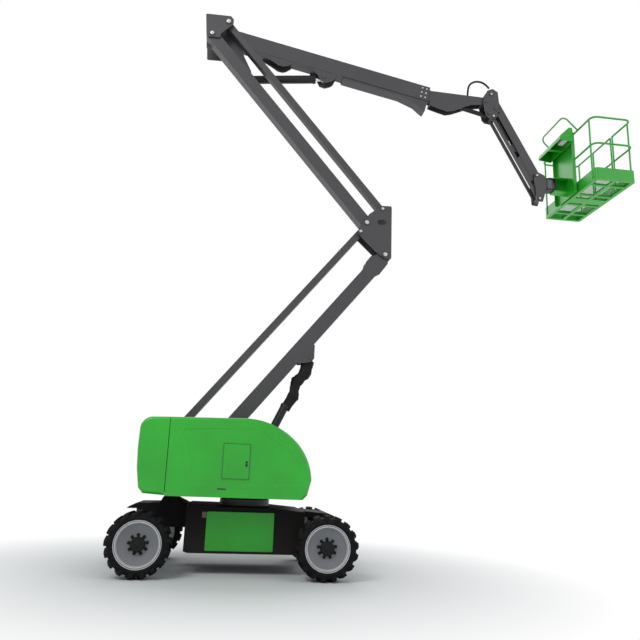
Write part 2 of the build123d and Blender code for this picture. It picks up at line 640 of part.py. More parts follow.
WINDOW = (145, 92)                # oval lightening hole, length and height
with BuildPart() as mid_knuckle:
    px, pz = ARM_HEAD
    plates(
        [NEAR_PLATE, MID_PLATE],
        [(px + 105, pz + 870), (px - 80, pz + 862), (px - 285, pz + 690), (px - 455, pz + 420),
         (px - 462, pz + 330), (px - 90, pz - 20), (px, pz - 75), (px + 105, pz - 78)],
        30)
    with BuildSketch(side_plane((px - 62, pz + 566), MID_PLATE[1] + 1)) as window:
        SlotOverall(WINDOW[0], WINDOW[1])
    extrude(window.sketch, amount=MID_PLATE[1] - NEAR_PLATE[0] + 2, mode=Mode.SUBTRACT)
    for place, radius in (
        (ARM_HEAD, ARM_PIN_R), (LINK_HEAD, LINK_PIN_R), (TUBE_FOOT, ARM_PIN_R), (UPLINK_FOOT, LINK_PIN_R),
    ):
        cross_pin(place, radius, NEAR_PLATE[0], MID_PLATE[1])

with BuildPart(side_plane(TUBE_FOOT, RISER_Y, UPPER_DIR)) as upper_tube:
    box_arm(UPPER_LEN, TUBE_DEPTH, ARM_W, TUBE_WALL, ARM_PIN_R, ARM_PIN_R)

with BuildPart(side_plane(UPLINK_FOOT, RISER_Y, UPPER_DIR)) as upper_link:
    box_arm(UPPER_LEN, LINK_DEPTH, LINK_W, LINK_WALL, LINK_PIN_R, BOOM_PIN_R)

qx, qz = TUBE_HEAD
KNUCKLE_HEAD = [(qx - 135, qz + 372), (qx + 300, qz + 380), (qx + 352, qz + 320), (qx + 350, qz + 230)]
with BuildPart() as top_knuckle:
    plates([NEAR_PLATE], KNUCKLE_HEAD + [(qx + 150, qz + 8), (qx + 135, qz - 70), (qx - 95, qz - 76)], 25)
    plates(
        [MID_PLATE, FAR_PLATE],
        KNUCKLE_HEAD + [(BOOM_CYL_FOOT[0] + 75, BOOM_CYL_FOOT[1] + 40),
            (BOOM_CYL_FOOT[0] + 40, BOOM_CYL_FOOT[1] - 65),
                        (BOOM_CYL_FOOT[0] - 65, BOOM_CYL_FOOT[1] - 25), (qx + 185, qz - 132),
                        (qx - 97, qz - 142)], 25)
    cross_pin(TUBE_HEAD, ARM_PIN_R, NEAR_PLATE[0], MID_PLATE[1])
    cross_pin(BOOM_PIVOT, BOOM_PIN_R, NEAR_PLATE[0], FAR_PLATE[1])
    cross_pin(BOOM_CYL_FOOT, 30, MID_PLATE[0], FAR_PLATE[1], near_head=False)

RISER_CYL_LINE = angle_to(RISER_CYL_FOOT, RISER_CYL_HEAD)
RISER_CYL_REST = reach(RISER_CYL_FOOT, RISER_CYL_HEAD)
with BuildPart(side_plane(RISER_CYL_FOOT, RISER_Y, RISER_CYL_LINE)) as riser_cyl_barrel:
    barrel(1250, 65, 52, 35, 55, 130, 30)
with BuildPart(side_plane(RISER_CYL_FOOT, RISER_Y, RISER_CYL_LINE)) as riser_cyl_rod:
    ram(RISER_CYL_REST, RISER_CYL_REST - 1380, 35, 52, 50, 120, 30)

# ---------------------------------------------------------------- main boom
BOOM_LUG_SPAN = (86, 106)         # half spans of the boom's lugs, nearly flush with its sides
with BuildPart(side_plane(BOOM_PIVOT, BOOM_Y, BOOM_ANGLE)) as boom_outer:
    middle = (BOOM_TOP + BOOM_BOTTOM) / 2
    depth = BOOM_TOP - BOOM_BOTTOM
    with Locations(((BOOM_MOUTH + 60) / 2, middle)):
        Box(BOOM_MOUTH - 60, depth, BOOM_W)
    Cylinder(105, BOOM_W)
    with Locations(((BOOM_MOUTH + 700) / 2, middle)):
        Box(BOOM_MOUTH - 700 + 2, depth - 2 * BOOM_WALL, BOOM_W - 2 * BOOM_WALL, mode=Mode.SUBTRACT)
    lug = BOOM_LUG
    rear = BOOM_LUG_REAR
    lug_sides = [(BOOM_Y - BOOM_LUG_SPAN[1], BOOM_Y - BOOM_LUG_SPAN[0]),
                 (BOOM_Y + BOOM_LUG_SPAN[0], BOOM_Y + BOOM_LUG_SPAN[1])]
    seam = BOOM_BOTTOM + 5
    for outline in (
        [(rear[0] - 430, seam), (rear[0] - 125, rear[1] - 16), (rear[0] - 20, rear[1] - 60),
         (rear[0] + 70, rear[1] - 58), (rear[0] + 126, rear[1] - 28), (rear[0] + 230, seam)],
        [(lug[0] - 350, seam), (lug[0] - 183, lug[1] + 50), (lug[0] - 83, lug[1] - 42),
         (lug[0] - 40, lug[1] - 100),
         (lug[0] + 60, lug[1] - 108), (lug[0] + 140, lug[1] - 60),
         (lug[0] + 190, lug[1] - 10), (lug[0] + 218, seam)],
    ):
        plates(lug_sides, outline, 18, place=BOOM_PIVOT, angle=BOOM_ANGLE)
    bores([(0, 0)], BOOM_PIN_R + PIN_FIT, BOOM_W + 2)
    stub_pins(BOOM_CYL_HEAD, 30, BOOM_Y - BOOM_LUG_SPAN[1], BOOM_Y + BOOM_LUG_SPAN[1], 20)

nx, ny = NOSE_PIN
INNER_MIDDLE = (BOOM_TOP + BOOM_BOTTOM) / 2
NOSE_SIDE = 14                    # the nose's side plates
with BuildPart(side_plane(BOOM_PIVOT, BOOM_Y, BOOM_ANGLE)) as boom_inner:
    with Locations(((BOOM_MOUTH + 60 + INNER_TAIL) / 2, INNER_MIDDLE)):
        Box(BOOM_MOUTH + 60 - INNER_TAIL, INNER_DEPTH, INNER_W)
    plates(
        [(BOOM_Y - INNER_W / 2, BOOM_Y + INNER_W / 2)],
        [(BOOM_MOUTH + 50, INNER_MIDDLE + INNER_DEPTH / 2), (nx - 60, ny + 65), (nx + 30, ny + 60),
         (nx + 62, ny),
         (nx + 20, ny - 58), (nx - 140, ny - 120), (nx - 240, ny - 148), (nx - 380, ny - 255),
         (nx - 560, ny - 380), (nx - 660, ny - 425),
         (nx - 820, ny - 418), (BOOM_MOUTH + 50, ny - 400),
         (BOOM_MOUTH + 50, INNER_MIDDLE - INNER_DEPTH / 2)],
        12, place=BOOM_PIVOT, angle=BOOM_ANGLE)
    # open inside: through the tube, and between the nose's side plates from below
    with Locations(((BOOM_MOUTH + INNER_TAIL) / 2 - 20, INNER_MIDDLE)):
        Box(BOOM_MOUTH + 42 - INNER_TAIL, INNER_DEPTH - 2 * INNER_WALL, INNER_W - 2 * INNER_WALL,
            mode=Mode.SUBTRACT)
    plates_cut = [(BOOM_Y - INNER_W / 2 + NOSE_SIDE, BOOM_Y + INNER_W / 2 - NOSE_SIDE)]
    with BuildSketch(side_plane(BOOM_PIVOT, plates_cut[0][1], BOOM_ANGLE)) as hollow:
        Polygon(
            (BOOM_MOUTH + 70, INNER_MIDDLE + INNER_DEPTH / 2 - 12), (nx - 70, ny + 51), (nx - 55, ny - 450),
            (BOOM_MOUTH + 70, ny - 450), align=None)
    extrude(hollow.sketch, amount=plates_cut[0][1] - plates_cut[0][0], mode=Mode.SUBTRACT)
    with Locations(NOSE_PIN):
        Cylinder(NOSE_PIN_R + 24, INNER_W)
    bores([NOSE_PIN], NOSE_PIN_R + PIN_FIT, INNER_W + 2)

TRAY_HALF_W = 98
TRAY_SHEET = 6
with BuildPart() as hose_tray:
    # a folded channel under the boom that deepens towards the mouth
    for rise, half_w, mode in ((0, TRAY_HALF_W, Mode.ADD),
        (TRAY_SHEET, TRAY_HALF_W - TRAY_SHEET, Mode.SUBTRACT)):
        with BuildSketch(side_plane(BOOM_PIVOT, BOOM_Y + half_w, BOOM_ANGLE)) as tray:
            Polygon(
                (2160 - rise, BOOM_BOTTOM + rise / 10), (2190 - rise, BOOM_BOTTOM - 48 + rise),
                (3275, BOOM_BOTTOM - 48 + rise), (3576, BOOM_BOTTOM - 108 + rise),
                (3760, BOOM_BOTTOM - 210 + rise),
                (3790 + rise, BOOM_BOTTOM - 205 + rise), (3795 + rise, BOOM_BOTTOM + rise / 10), align=None)
        extrude(tray.sketch, amount=2 * half_w, mode=mode)

HOSE_R = 18
HOSE_LOOP = [
    offset_by(NOSE, move) for move in
    ((-303, 96), (-297, 256), (-260, 376), (-155, 451), (-25, 456), (80, 396), (125, 336))
]
HOSE_BENDS = 95
with BuildPart() as hose_loop:
    with BuildLine() as run:
        FilletPolyline(*[(x, BOOM_Y, z) for x, z in HOSE_LOOP], radius=HOSE_BENDS)
    with BuildSketch(Plane(origin=run.line @ 0, z_dir=run.line % 0)) as end:
        Circle(HOSE_R)
    sweep(end.sketch, path=run.line)

BOOM_CYL_LINE = angle_to(BOOM_CYL_FOOT, BOOM_CYL_HEAD)
BOOM_CYL_REST = reach(BOOM_CYL_FOOT, BOOM_CYL_HEAD)
with BuildPart(side_plane(BOOM_CYL_FOOT, BOOM_Y, BOOM_CYL_LINE)) as boom_cyl_barrel:
    barrel(1245, 72, 58, 35, 60, 150, 30)
with BuildPart(side_plane(BOOM_CYL_FOOT, BOOM_Y, BOOM_CYL_LINE)) as boom_cyl_rod:
    ram(BOOM_CYL_REST, BOOM_CYL_REST - 1240, 35, 58, 50, 150, 30)

# ---------------------------------------------------------------- jib
BRACKET_T = 15
BRACKET_IN = 95                   # half the gap between a bracket's two plates
BRACKET = (BOOM_Y - BRACKET_IN - BRACKET_T, BOOM_Y + BRACKET_IN + BRACKET_T)
BRACKET_SPANS = [(BRACKET[0], BRACKET[0] + BRACKET_T), (BRACKET[1] - BRACKET_T, BRACKET[1])]
JIB_BAR = (57, 77)                # inner and outer half spans of the link's two bars
JIB_LINK_END_R = 42
JIB_CUT = 340                     # how far the arm's foot is cut back on its underside
JIB_SLOT = 1240
JIB_LUG = (30, 44)                # half spans of the arm's inner lugs
SLAVE_PIN_R = 16
nx, nz = NOSE
with BuildPart() as jib_base:
    plates(
        BRACKET_SPANS,
        [(nx - 45, nz - 40), (nx - 25, nz + 90), (nx + 50, nz + 215), (nx + 150, nz + 262),
         (nx + 250, nz + 205),
         (nx + 272, nz - 40), (nx + 232, nz - 310), (nx + 175, nz - 362), (nx + 60, nz - 350),
         (nx + 5, nz - 295)], 20)
    for place, radius in ((NOSE, NOSE_PIN_R), (JIB_TOP, JIB_PIN_R), (JIB_LINK_TOP, JIB_PIN_R),
        (JIB_CYL_FOOT, JIB_PIN_R)):
        cross_pin(place, radius, BRACKET[0], BRACKET[1])
    cross_pin(SLAVE_FOOT, SLAVE_PIN_R, BRACKET[0], BRACKET[1])

SLAVE_LINE = angle_to(SLAVE_FOOT, SLAVE_HEAD)
SLAVE_REST = reach(SLAVE_FOOT, SLAVE_HEAD)
with BuildPart(side_plane(SLAVE_FOOT, BOOM_Y, SLAVE_LINE)) as slave_cyl_barrel:
    barrel(520, 40, 30, 16, 34, 60, SLAVE_PIN_R)
with BuildPart(side_plane(SLAVE_FOOT, BOOM_Y, SLAVE_LINE)) as slave_cyl_rod:
    ram(SLAVE_REST, 395, 16, 30, 22, 50, 10)

with BuildPart(side_plane(JIB_TOP, BOOM_Y, JIB_ANGLE)) as jib_arm:
    box_arm(JIB_LEN, JIB_DEPTH, JIB_W, 6, JIB_PIN_R, JIB_PIN_R)
    # cut back at the foot, over the lift cylinder's pin, and open underneath where the cylinder works
    with Locations((JIB_CUT / 2 + 60, -JIB_DEPTH / 2 - 20)):
        Box(JIB_CUT, JIB_DEPTH, JIB_W + 2, mode=Mode.SUBTRACT)
    with Locations((JIB_SLOT / 2 + 60, -JIB_DEPTH / 2)):
        Box(JIB_SLOT, 30, JIB_W - 12, mode=Mode.SUBTRACT)
    x, y = JIB_CYL_ON_ARM
    for low, high in ((BOOM_Y - JIB_LUG[1], BOOM_Y - JIB_LUG[0]),
        (BOOM_Y + JIB_LUG[0], BOOM_Y + JIB_LUG[1])):
        plates(
            [(low, high)],
            [(x - 110, JIB_DEPTH / 2 - 5), (x - 70, y), (x - 40, y - 38), (x + 40, y - 38), (x + 90, y),
             (x + 150, JIB_DEPTH / 2 - 5)], 15, place=JIB_TOP, angle=JIB_ANGLE)
    stub_pins(JIB_CYL_HEAD, 16, BOOM_Y - JIB_LUG[1], BOOM_Y + JIB_LUG[1], JIB_LUG[1] - JIB_LUG[0], 4)

JIB_CYL_LINE = angle_to(JIB_CYL_FOOT, JIB_CYL_HEAD)
JIB_CYL_REST = reach(JIB_CYL_FOOT, JIB_CYL_HEAD)
with BuildPart(side_plane(JIB_CYL_FOOT, BOOM_Y, JIB_CYL_LINE)) as jib_cyl_barrel:
    barrel(640, 34, 26, 16, 36, 60, JIB_PIN_R)
with BuildPart(side_plane(JIB_CYL_FOOT, BOOM_Y, JIB_CYL_LINE)) as jib_cyl_rod:
    ram(JIB_CYL_REST, 70, 16, 26, 24, 50, 12)

with BuildPart(side_plane(JIB_LINK_TOP, BOOM_Y, JIB_ANGLE)) as jib_link:
    for side in (-1, 1):
        with Locations((JIB_LEN / 2, 0, side * sum(JIB_BAR) / 2)):
            Box(JIB_LEN, JIB_LINK_DEPTH, JIB_BAR[1] - JIB_BAR[0])
        with Locations((0, 0, side * sum(JIB_BAR) / 2), (JIB_LEN, 0, side * sum(JIB_BAR) / 2)):
            Cylinder(JIB_LINK_END_R, JIB_BAR[1] - JIB_BAR[0])
    with Locations((0, 0), (JIB_LEN, 0)):
        Cylinder(JIB_PIN_R + 14, 2 * JIB_BAR[0] + 4)
    bores([(0, 0), (JIB_LEN, 0)], JIB_PIN_R + PIN_FIT, 2 * JIB_BAR[1] + 2)

ROTATOR_Z = JIB_END[1] - 130
ROTATOR_R = 80
ROTATOR_H = 180
with BuildPart() as jib_head:
    jx, jz = JIB_END
    lx, lz = JIB_LINK_END
    plates(
        BRACKET_SPANS,
        [(jx - 55, jz + 45), (jx + 40, jz + 60), (ROTATOR[0] - 130, jz + 10), (ROTATOR[0] - 105, jz - 70),
         (ROTATOR[0] - 105, jz - 240), (lx + 60, lz - 60), (lx - 55, lz - 45)], 20)
    cross_pin(JIB_END, JIB_PIN_R, BRACKET[0], BRACKET[1])
    cross_pin(JIB_LINK_END, JIB_PIN_R, BRACKET[0], BRACKET[1])
    with Locations((ROTATOR[0] - 100, BOOM_Y, ROTATOR_Z)):
        Box(30, 2 * BRACKET_IN + 2, ROTATOR_H - 40)

with BuildPart() as rotator:
    with Locations((ROTATOR[0], BOOM_Y, ROTATOR_Z)):
        Cylinder(ROTATOR_R, ROTATOR_H)
        with Locations((-75, 0, 0)):
            Box(20, 120, ROTATOR_H - 60)

# ---------------------------------------------------------------- basket
MID_X = sum(BASKET_X) / 2
MID_Y = sum(BASKET_Y) / 2
LENGTH_X = BASKET_X[1] - BASKET_X[0]
LENGTH_Y = BASKET_Y[1] - BASKET_Y[0]
RAIL_TOP = BASKET_FLOOR + BASKET_H - RAIL_R
RAIL_MID = BASKET_FLOOR + 680
POST_FOOT = BASKET_FLOOR + FLOOR_H
FLANGE_R = 95
FLANGE_T = 22
FLANGE_GAP = 6
ARM_START = ROTATOR[0] + 58       # where the bracket's arms begin, over the rotator's flanges
SHIELD_Y = (BOOM_Y - 350, BOOM_Y + 350)
SHIELD_X = BASKET_X[0] - RAIL_R - 12
SHIELD_FLANGE = 60
CONSOLE_Y = (BOOM_Y - 420, BOOM_Y + 420)
HOOP_Y = (BOOM_Y - 440, BOOM_Y + 440)
CONSOLE_OUT = 250                 # how far the console stands out from the shield
GATE_Y = (-180, 490)              # the gate's hinge post and its latch post
GATE_GAP = 12
HOOP_UP = 260
HOOP_OUT = 260
FLANGE_Z = ROTATOR_H / 2 + FLANGE_GAP + FLANGE_T / 2
ARM_Z = FLANGE_Z + FLANGE_T

with BuildPart() as rotator_flanges:
    for level in (-1, 1):
        with Locations((ROTATOR[0], BOOM_Y, ROTATOR_Z + level * FLANGE_Z)):
            Cylinder(FLANGE_R, FLANGE_T)
    # torque tube on the basket's side that ties the two flanges together
    with Locations((ROTATOR[0] + FLANGE_R + 9, BOOM_Y, ROTATOR_Z)):
        Box(24, 120, 2 * FLANGE_Z + FLANGE_T)
    with Locations((ROTATOR[0] + FLANGE_R - 10, BOOM_Y, ROTATOR_Z)):
        for level in (-1, 1):
            with Locations((0, 0, level * FLANGE_Z)):
                Box(60, 120, FLANGE_T)

with BuildPart() as rotator_bracket:
    for level in (-1, 1):
        with Locations(((ARM_START + SHIELD_X) / 2, BOOM_Y, ROTATOR_Z + level * ARM_Z)):
            Box(SHIELD_X - ARM_START, 190, FLANGE_T)
    # web between the two arms
    with Locations(((ROTATOR[0] + FLANGE_R + 24 + SHIELD_X) / 2, BOOM_Y + 70, ROTATOR_Z)):
        Box(SHIELD_X - ROTATOR[0] - FLANGE_R - 24, 14, 2 * ARM_Z)
    # the shield that ties the basket to the rotator, and carries the console
    with Locations((SHIELD_X, BOOM_Y, (BASKET_FLOOR + 10 + RAIL_TOP) / 2)):
        Box(8, SHIELD_Y[1] - SHIELD_Y[0], RAIL_TOP - BASKET_FLOOR - 10)
    for y in SHIELD_Y:
        with Locations((SHIELD_X - SHIELD_FLANGE / 2, y, (BASKET_FLOOR + 10 + RAIL_TOP) / 2)):
            Box(SHIELD_FLANGE, 8, RAIL_TOP - BASKET_FLOOR - 10)

EDGE_W = 60                       # the floor frame's rim
RIBS = (-0.36, -0.13, 0.1, 0.33)  # cross ribs, as shares of the floor's length
RIB_W = 50
SPINE_W = 70
GRATE_H = 18
with BuildPart() as basket_floor:
    with Locations((MID_X, MID_Y, BASKET_FLOOR + FLOOR_H / 2)):
        Box(LENGTH_X, LENGTH_Y, FLOOR_H)
        Box(LENGTH_X - 2 * EDGE_W, LENGTH_Y - 2 * EDGE_W, FLOOR_H, mode=Mode.SUBTRACT)
    fillet(edges().filter_by(Axis.Z).filter_by(lambda e: abs(e.center().X - MID_X) > LENGTH_X / 2 - 1), 50)
    # ribs and a spine under the grating
    rib_h = FLOOR_H - GRATE_H
    for share in RIBS:
        with Locations((MID_X, MID_Y + share * LENGTH_Y, BASKET_FLOOR + rib_h / 2)):
            Box(LENGTH_X - 2 * EDGE_W + 2, RIB_W, rib_h)
    with Locations((MID_X, MID_Y, BASKET_FLOOR + rib_h / 2)):
        Box(SPINE_W, LENGTH_Y - 2 * EDGE_W + 2, rib_h)
    with Locations((MID_X, BOOM_Y, BASKET_FLOOR + rib_h / 2)):
        Box(LENGTH_X - 2 * EDGE_W + 2, 200, rib_h)

BAR_PITCH = 45
BARS = int((LENGTH_Y - 2 * EDGE_W) / BAR_PITCH)
GRATE_Z = BASKET_FLOOR + FLOOR_H - GRATE_H / 2
with BuildPart() as floor_grating:
    with Locations((MID_X, MID_Y, GRATE_Z)):
        with GridLocations(0, BAR_PITCH, 1, BARS):
            Box(LENGTH_X - 2 * EDGE_W, 6, GRATE_H)
    for share in (-0.25, 0.25):
        with Locations((MID_X + share * LENGTH_X, MID_Y, GRATE_Z)):
            Box(8, (BARS - 1) * BAR_PITCH, GRATE_H)

rails = []
for level in (RAIL_MID, RAIL_TOP):
    with BuildPart() as rail:
        with BuildSketch(Plane.XY.offset(level)) as around:
            with Locations((MID_X, MID_Y)):
                RectangleRounded(LENGTH_X, LENGTH_Y, RAIL_CORNER)
        loop = around.sketch.face().outer_wire()
        with BuildSketch(Plane(origin=loop @ 0, z_dir=loop % 0)) as tube:
            Circle(RAIL_R)
        sweep(tube.sketch, path=loop)
        # the gate's gap in the long outer side
        with Locations((BASKET_X[1], sum(GATE_Y) / 2, level)):
            Box(4 * RAIL_R, GATE_Y[1] - GATE_Y[0] + RAIL_R, 4 * RAIL_R, mode=Mode.SUBTRACT)
    rails.append(rail)

POSTS = [
    (BASKET_X[0], BASKET_Y[0] + RAIL_CORNER), (BASKET_X[0], BASKET_Y[1] - RAIL_CORNER),
    (BASKET_X[1], BASKET_Y[0] + RAIL_CORNER), (BASKET_X[1], BASKET_Y[1] - RAIL_CORNER),
    (BASKET_X[1], GATE_Y[0] - RAIL_R), (BASKET_X[1], GATE_Y[1] + RAIL_R),
]
with BuildPart() as basket_frame:
    for rail in rails:
        add(rail.part)
    for x, y in POSTS:
        with Locations((x, y, (POST_FOOT + RAIL_TOP) / 2)):
            Cylinder(POST_R, RAIL_TOP - POST_FOOT)
    # toe boards, with the gate's gap left open
    for inset, mode in ((0, Mode.ADD), (6, Mode.SUBTRACT)):
        with BuildSketch(Plane.XY.offset(POST_FOOT)) as board:
            with Locations((MID_X, MID_Y)):
                RectangleRounded(LENGTH_X - 2 * inset, LENGTH_Y - 2 * inset, 50 - inset)
        extrude(board.sketch, amount=TOE_H, mode=mode)
    with Locations((BASKET_X[1], sum(GATE_Y) / 2, POST_FOOT + TOE_H / 2)):
        Box(4 * RAIL_R, GATE_Y[1] - GATE_Y[0], TOE_H, mode=Mode.SUBTRACT)
    # guard hoop that leans out over the console
    low = RAIL_TOP
    with BuildLine() as hoop:
        FilletPolyline(
            (BASKET_X[0], HOOP_Y[0], low), (BASKET_X[0] - HOOP_OUT, HOOP_Y[0], low + HOOP_UP),
            (BASKET_X[0] - HOOP_OUT, HOOP_Y[1], low + HOOP_UP), (BASKET_X[0], HOOP_Y[1], low),
            radius=120)
    with BuildSketch(Plane(origin=hoop.line @ 0, z_dir=hoop.line % 0)) as tube:
        Circle(14)
    sweep(tube.sketch, path=hoop.line)

with BuildPart() as basket_gate:
    gate_x = BASKET_X[1]
    low_y = GATE_Y[0] + POST_R + GATE_GAP + RAIL_R
    high_y = GATE_Y[1] - POST_R - GATE_GAP - RAIL_R
    for y in (low_y, high_y):
        with Locations((gate_x, y, (POST_FOOT + 30 + RAIL_TOP) / 2)):
            Cylinder(POST_R, RAIL_TOP - POST_FOOT - 30)
    for level in (RAIL_MID, RAIL_TOP):
        with Locations((gate_x, (low_y + high_y) / 2, level)):
            Cylinder(RAIL_R, high_y - low_y, rotation=(90, 0, 0))
    with Locations((gate_x, (low_y + high_y) / 2, POST_FOOT + 30 + TOE_H / 2)):
        Box(8, high_y - low_y, TOE_H)

CONSOLE_X = SHIELD_X - SHIELD_FLANGE - 1
CONSOLE_SHEET = 8
with BuildPart() as platform_console:
    # a folded cover, open underneath, that slopes down and out
    with BuildSketch(Plane.XZ.offset(-CONSOLE_Y[0])) as cover:
        Polygon(
            (CONSOLE_X, RAIL_TOP - 230), (CONSOLE_X, RAIL_TOP + 50), (CONSOLE_X - 70, RAIL_TOP + 50),
            (CONSOLE_X - CONSOLE_OUT + 20, RAIL_TOP - 110), (CONSOLE_X - CONSOLE_OUT, RAIL_TOP - 170),
            (CONSOLE_X - CONSOLE_OUT, RAIL_TOP - 200), align=None)
    extrude(cover.sketch, amount=CONSOLE_Y[0] - CONSOLE_Y[1])
    sheet = CONSOLE_SHEET
    with BuildSketch(Plane.XZ.offset(-CONSOLE_Y[0] - sheet)) as inside:
        Polygon(
            (CONSOLE_X - sheet, RAIL_TOP - 400), (CONSOLE_X - sheet, RAIL_TOP + 50 - sheet),
            (CONSOLE_X - 67, RAIL_TOP + 50 - sheet), (CONSOLE_X - CONSOLE_OUT + 24, RAIL_TOP - 118),
            (CONSOLE_X - CONSOLE_OUT + sheet, RAIL_TOP - 172),
            (CONSOLE_X - CONSOLE_OUT + sheet, RAIL_TOP - 400),
            align=None)
    extrude(inside.sketch, amount=CONSOLE_Y[0] - CONSOLE_Y[1] + 2 * sheet, mode=Mode.SUBTRACT)
    # cross strip under the cover
    with Locations((CONSOLE_X - CONSOLE_OUT / 2, BOOM_Y, RAIL_TOP - 205)):
        Box(CONSOLE_OUT - 2, 60, 10)

# ---------------------------------------------------------------- files
nodes = {
    "chassis_frame": chassis_frame, "side_covers": side_covers, "drive_axle": drive_axle,
    "steer_axle": steer_axle, "knuckle_near": knuckles["near"], "knuckle_far": knuckles["far"],
    "slew_ring": slew_ring, **wheels, "turntable": turntable, "counterweight": counterweight,
    "engine_block": engine_block, "tank_block": tank_block, "ground_controls": ground_controls,
    "hood_near": hoods["near"], "hood_far": hoods["far"], "access_door": access_door,
    "lower_arm": lower_arm, "lower_link": lower_link, "mid_knuckle": mid_knuckle,
    "upper_tube": upper_tube, "upper_link": upper_link, "top_knuckle": top_knuckle,
    "riser_cyl_barrel": riser_cyl_barrel, "riser_cyl_rod": riser_cyl_rod,
    "boom_outer": boom_outer, "hose_tray": hose_tray, "boom_inner": boom_inner, "hose_loop": hose_loop,
    "boom_cyl_barrel": boom_cyl_barrel, "boom_cyl_rod": boom_cyl_rod, "jib_base": jib_base,
    "slave_cyl_barrel": slave_cyl_barrel, "slave_cyl_rod": slave_cyl_rod, "jib_arm": jib_arm,
    "jib_link": jib_link, "jib_cyl_barrel": jib_cyl_barrel, "jib_cyl_rod": jib_cyl_rod,
    "jib_head": jib_head, "rotator": rotator, "rotator_flanges": rotator_flanges,
    "rotator_bracket": rotator_bracket, "basket_floor": basket_floor, "floor_grating": floor_grating,
    "basket_frame": basket_frame, "basket_gate": basket_gate, "platform_console": platform_console,
}
for node, piece in nodes.items():
    write(piece, node)
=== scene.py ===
import math

import bmesh
import bpy
from mathutils import Matrix, Vector


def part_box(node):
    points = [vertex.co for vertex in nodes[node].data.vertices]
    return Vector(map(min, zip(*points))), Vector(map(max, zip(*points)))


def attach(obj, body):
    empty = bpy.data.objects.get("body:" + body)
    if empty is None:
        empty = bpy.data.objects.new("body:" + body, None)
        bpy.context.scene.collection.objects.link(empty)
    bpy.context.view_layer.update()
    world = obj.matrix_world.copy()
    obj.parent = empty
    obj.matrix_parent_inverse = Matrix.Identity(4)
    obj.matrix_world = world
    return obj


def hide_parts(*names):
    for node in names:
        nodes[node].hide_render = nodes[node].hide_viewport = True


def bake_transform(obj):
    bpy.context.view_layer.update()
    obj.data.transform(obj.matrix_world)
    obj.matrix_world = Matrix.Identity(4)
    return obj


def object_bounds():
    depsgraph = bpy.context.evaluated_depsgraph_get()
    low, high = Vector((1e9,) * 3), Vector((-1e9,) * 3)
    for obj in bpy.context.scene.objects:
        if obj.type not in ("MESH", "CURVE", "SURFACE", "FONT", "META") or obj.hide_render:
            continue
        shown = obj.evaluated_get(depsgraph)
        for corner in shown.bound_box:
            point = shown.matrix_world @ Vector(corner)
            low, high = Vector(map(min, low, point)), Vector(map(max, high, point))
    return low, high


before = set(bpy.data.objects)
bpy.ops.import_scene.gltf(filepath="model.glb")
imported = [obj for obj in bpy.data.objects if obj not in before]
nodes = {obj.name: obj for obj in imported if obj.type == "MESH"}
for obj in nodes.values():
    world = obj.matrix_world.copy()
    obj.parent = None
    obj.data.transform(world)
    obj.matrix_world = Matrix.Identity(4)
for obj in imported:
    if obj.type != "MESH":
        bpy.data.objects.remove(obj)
cad_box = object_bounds()

# ---------------------------------------------------------------- the view
# A standing eye a little left of the machine, ten metres off on its near side, looking up at
# the raised boom.
EYE = Vector((-0.147, -10.161, 1.418))
HEADING, RISE, TILT = (math.radians(a) for a in (7.465, 13.435, 2.085))
SENSOR = 36.0             # mm
LENS = 36.05              # mm
FARTHEST = 200            # m

ahead = Vector((
    math.sin(HEADING) * math.cos(RISE), math.cos(HEADING) * math.cos(RISE), math.sin(RISE)))
level = Vector((math.cos(HEADING), -math.sin(HEADING), 0))
above = level.cross(ahead)
right = level * math.cos(TILT) + above * math.sin(TILT)
top = above * math.cos(TILT) - level * math.sin(TILT)
camera_data = bpy.data.cameras.new("camera")
camera_data.sensor_width = SENSOR
camera_data.lens = LENS
camera_data.clip_end = FARTHEST
camera = bpy.data.objects.new("camera", camera_data)
camera.matrix_world = Matrix.Translation(EYE) @ Matrix((right, top, -ahead)).transposed().to_4x4()
bpy.context.scene.collection.objects.link(camera)
bpy.context.scene.camera = camera
bpy.context.scene.view_settings.view_transform = "Standard"


# ---------------------------------------------------------------- floor and light
# A pale floor that runs out of sight and a white background, lit by a soft overcast world, a
# broad key lamp from the front left and weaker ones from the right and behind.
def tone(code, alpha=1.0):
    """An sRGB hex colour as the linear one that shaders take."""
    parts = [int(code[i:i + 2], 16) / 255 for i in (1, 3, 5)]
    return (*[c / 12.92 if c <= 0.04045 else ((c + 0.055) / 1.055) ** 2.4 for c in parts], alpha)


def add_node(tree, kind, settings=None, **links):
    """Adds a node: settings go on its properties or sockets, links join it to other outputs."""
    made = tree.nodes.new(kind)
    for name, value in (settings or {}).items():
        if isinstance(name, str) and hasattr(made, name):
            setattr(made, name, value)
        else:
            made.inputs[name].default_value = value
    for name, source in links.items():
        socket = int(name[1:]) if name[0] == "_" else name.replace("_", " ")
        tree.links.new(source, made.inputs[socket])
    return made


# floated concrete, pale and quite matt, which runs out into plain white away from the machine
FADE_START, FADE_END = 1.8, 5.2
floor_finish = bpy.data.materials.new("pale_concrete")
floor_finish.use_nodes = True
tree = floor_finish.node_tree
tree.nodes.clear()
matt = add_node(tree, "ShaderNodeBsdfDiffuse", {"Color": tone("#eef0f2")})
white = add_node(tree, "ShaderNodeEmission", {"Color": (1, 1, 1, 1), "Strength": 1.0})
spot = add_node(tree, "ShaderNodeNewGeometry")
reach = add_node(tree, "ShaderNodeVectorMath", {"operation": "LENGTH"}, _0=spot.outputs["Position"])
fade = add_node(tree, "ShaderNodeMapRange", {"From Min": FADE_START, "From Max": FADE_END},
                Value=reach.outputs["Value"])
mixed = add_node(tree, "ShaderNodeMixShader", {},
                 Fac=fade.outputs[0], _1=matt.outputs[0], _2=white.outputs[0])
add_node(tree, "ShaderNodeOutputMaterial", {}, Surface=mixed.outputs[0])

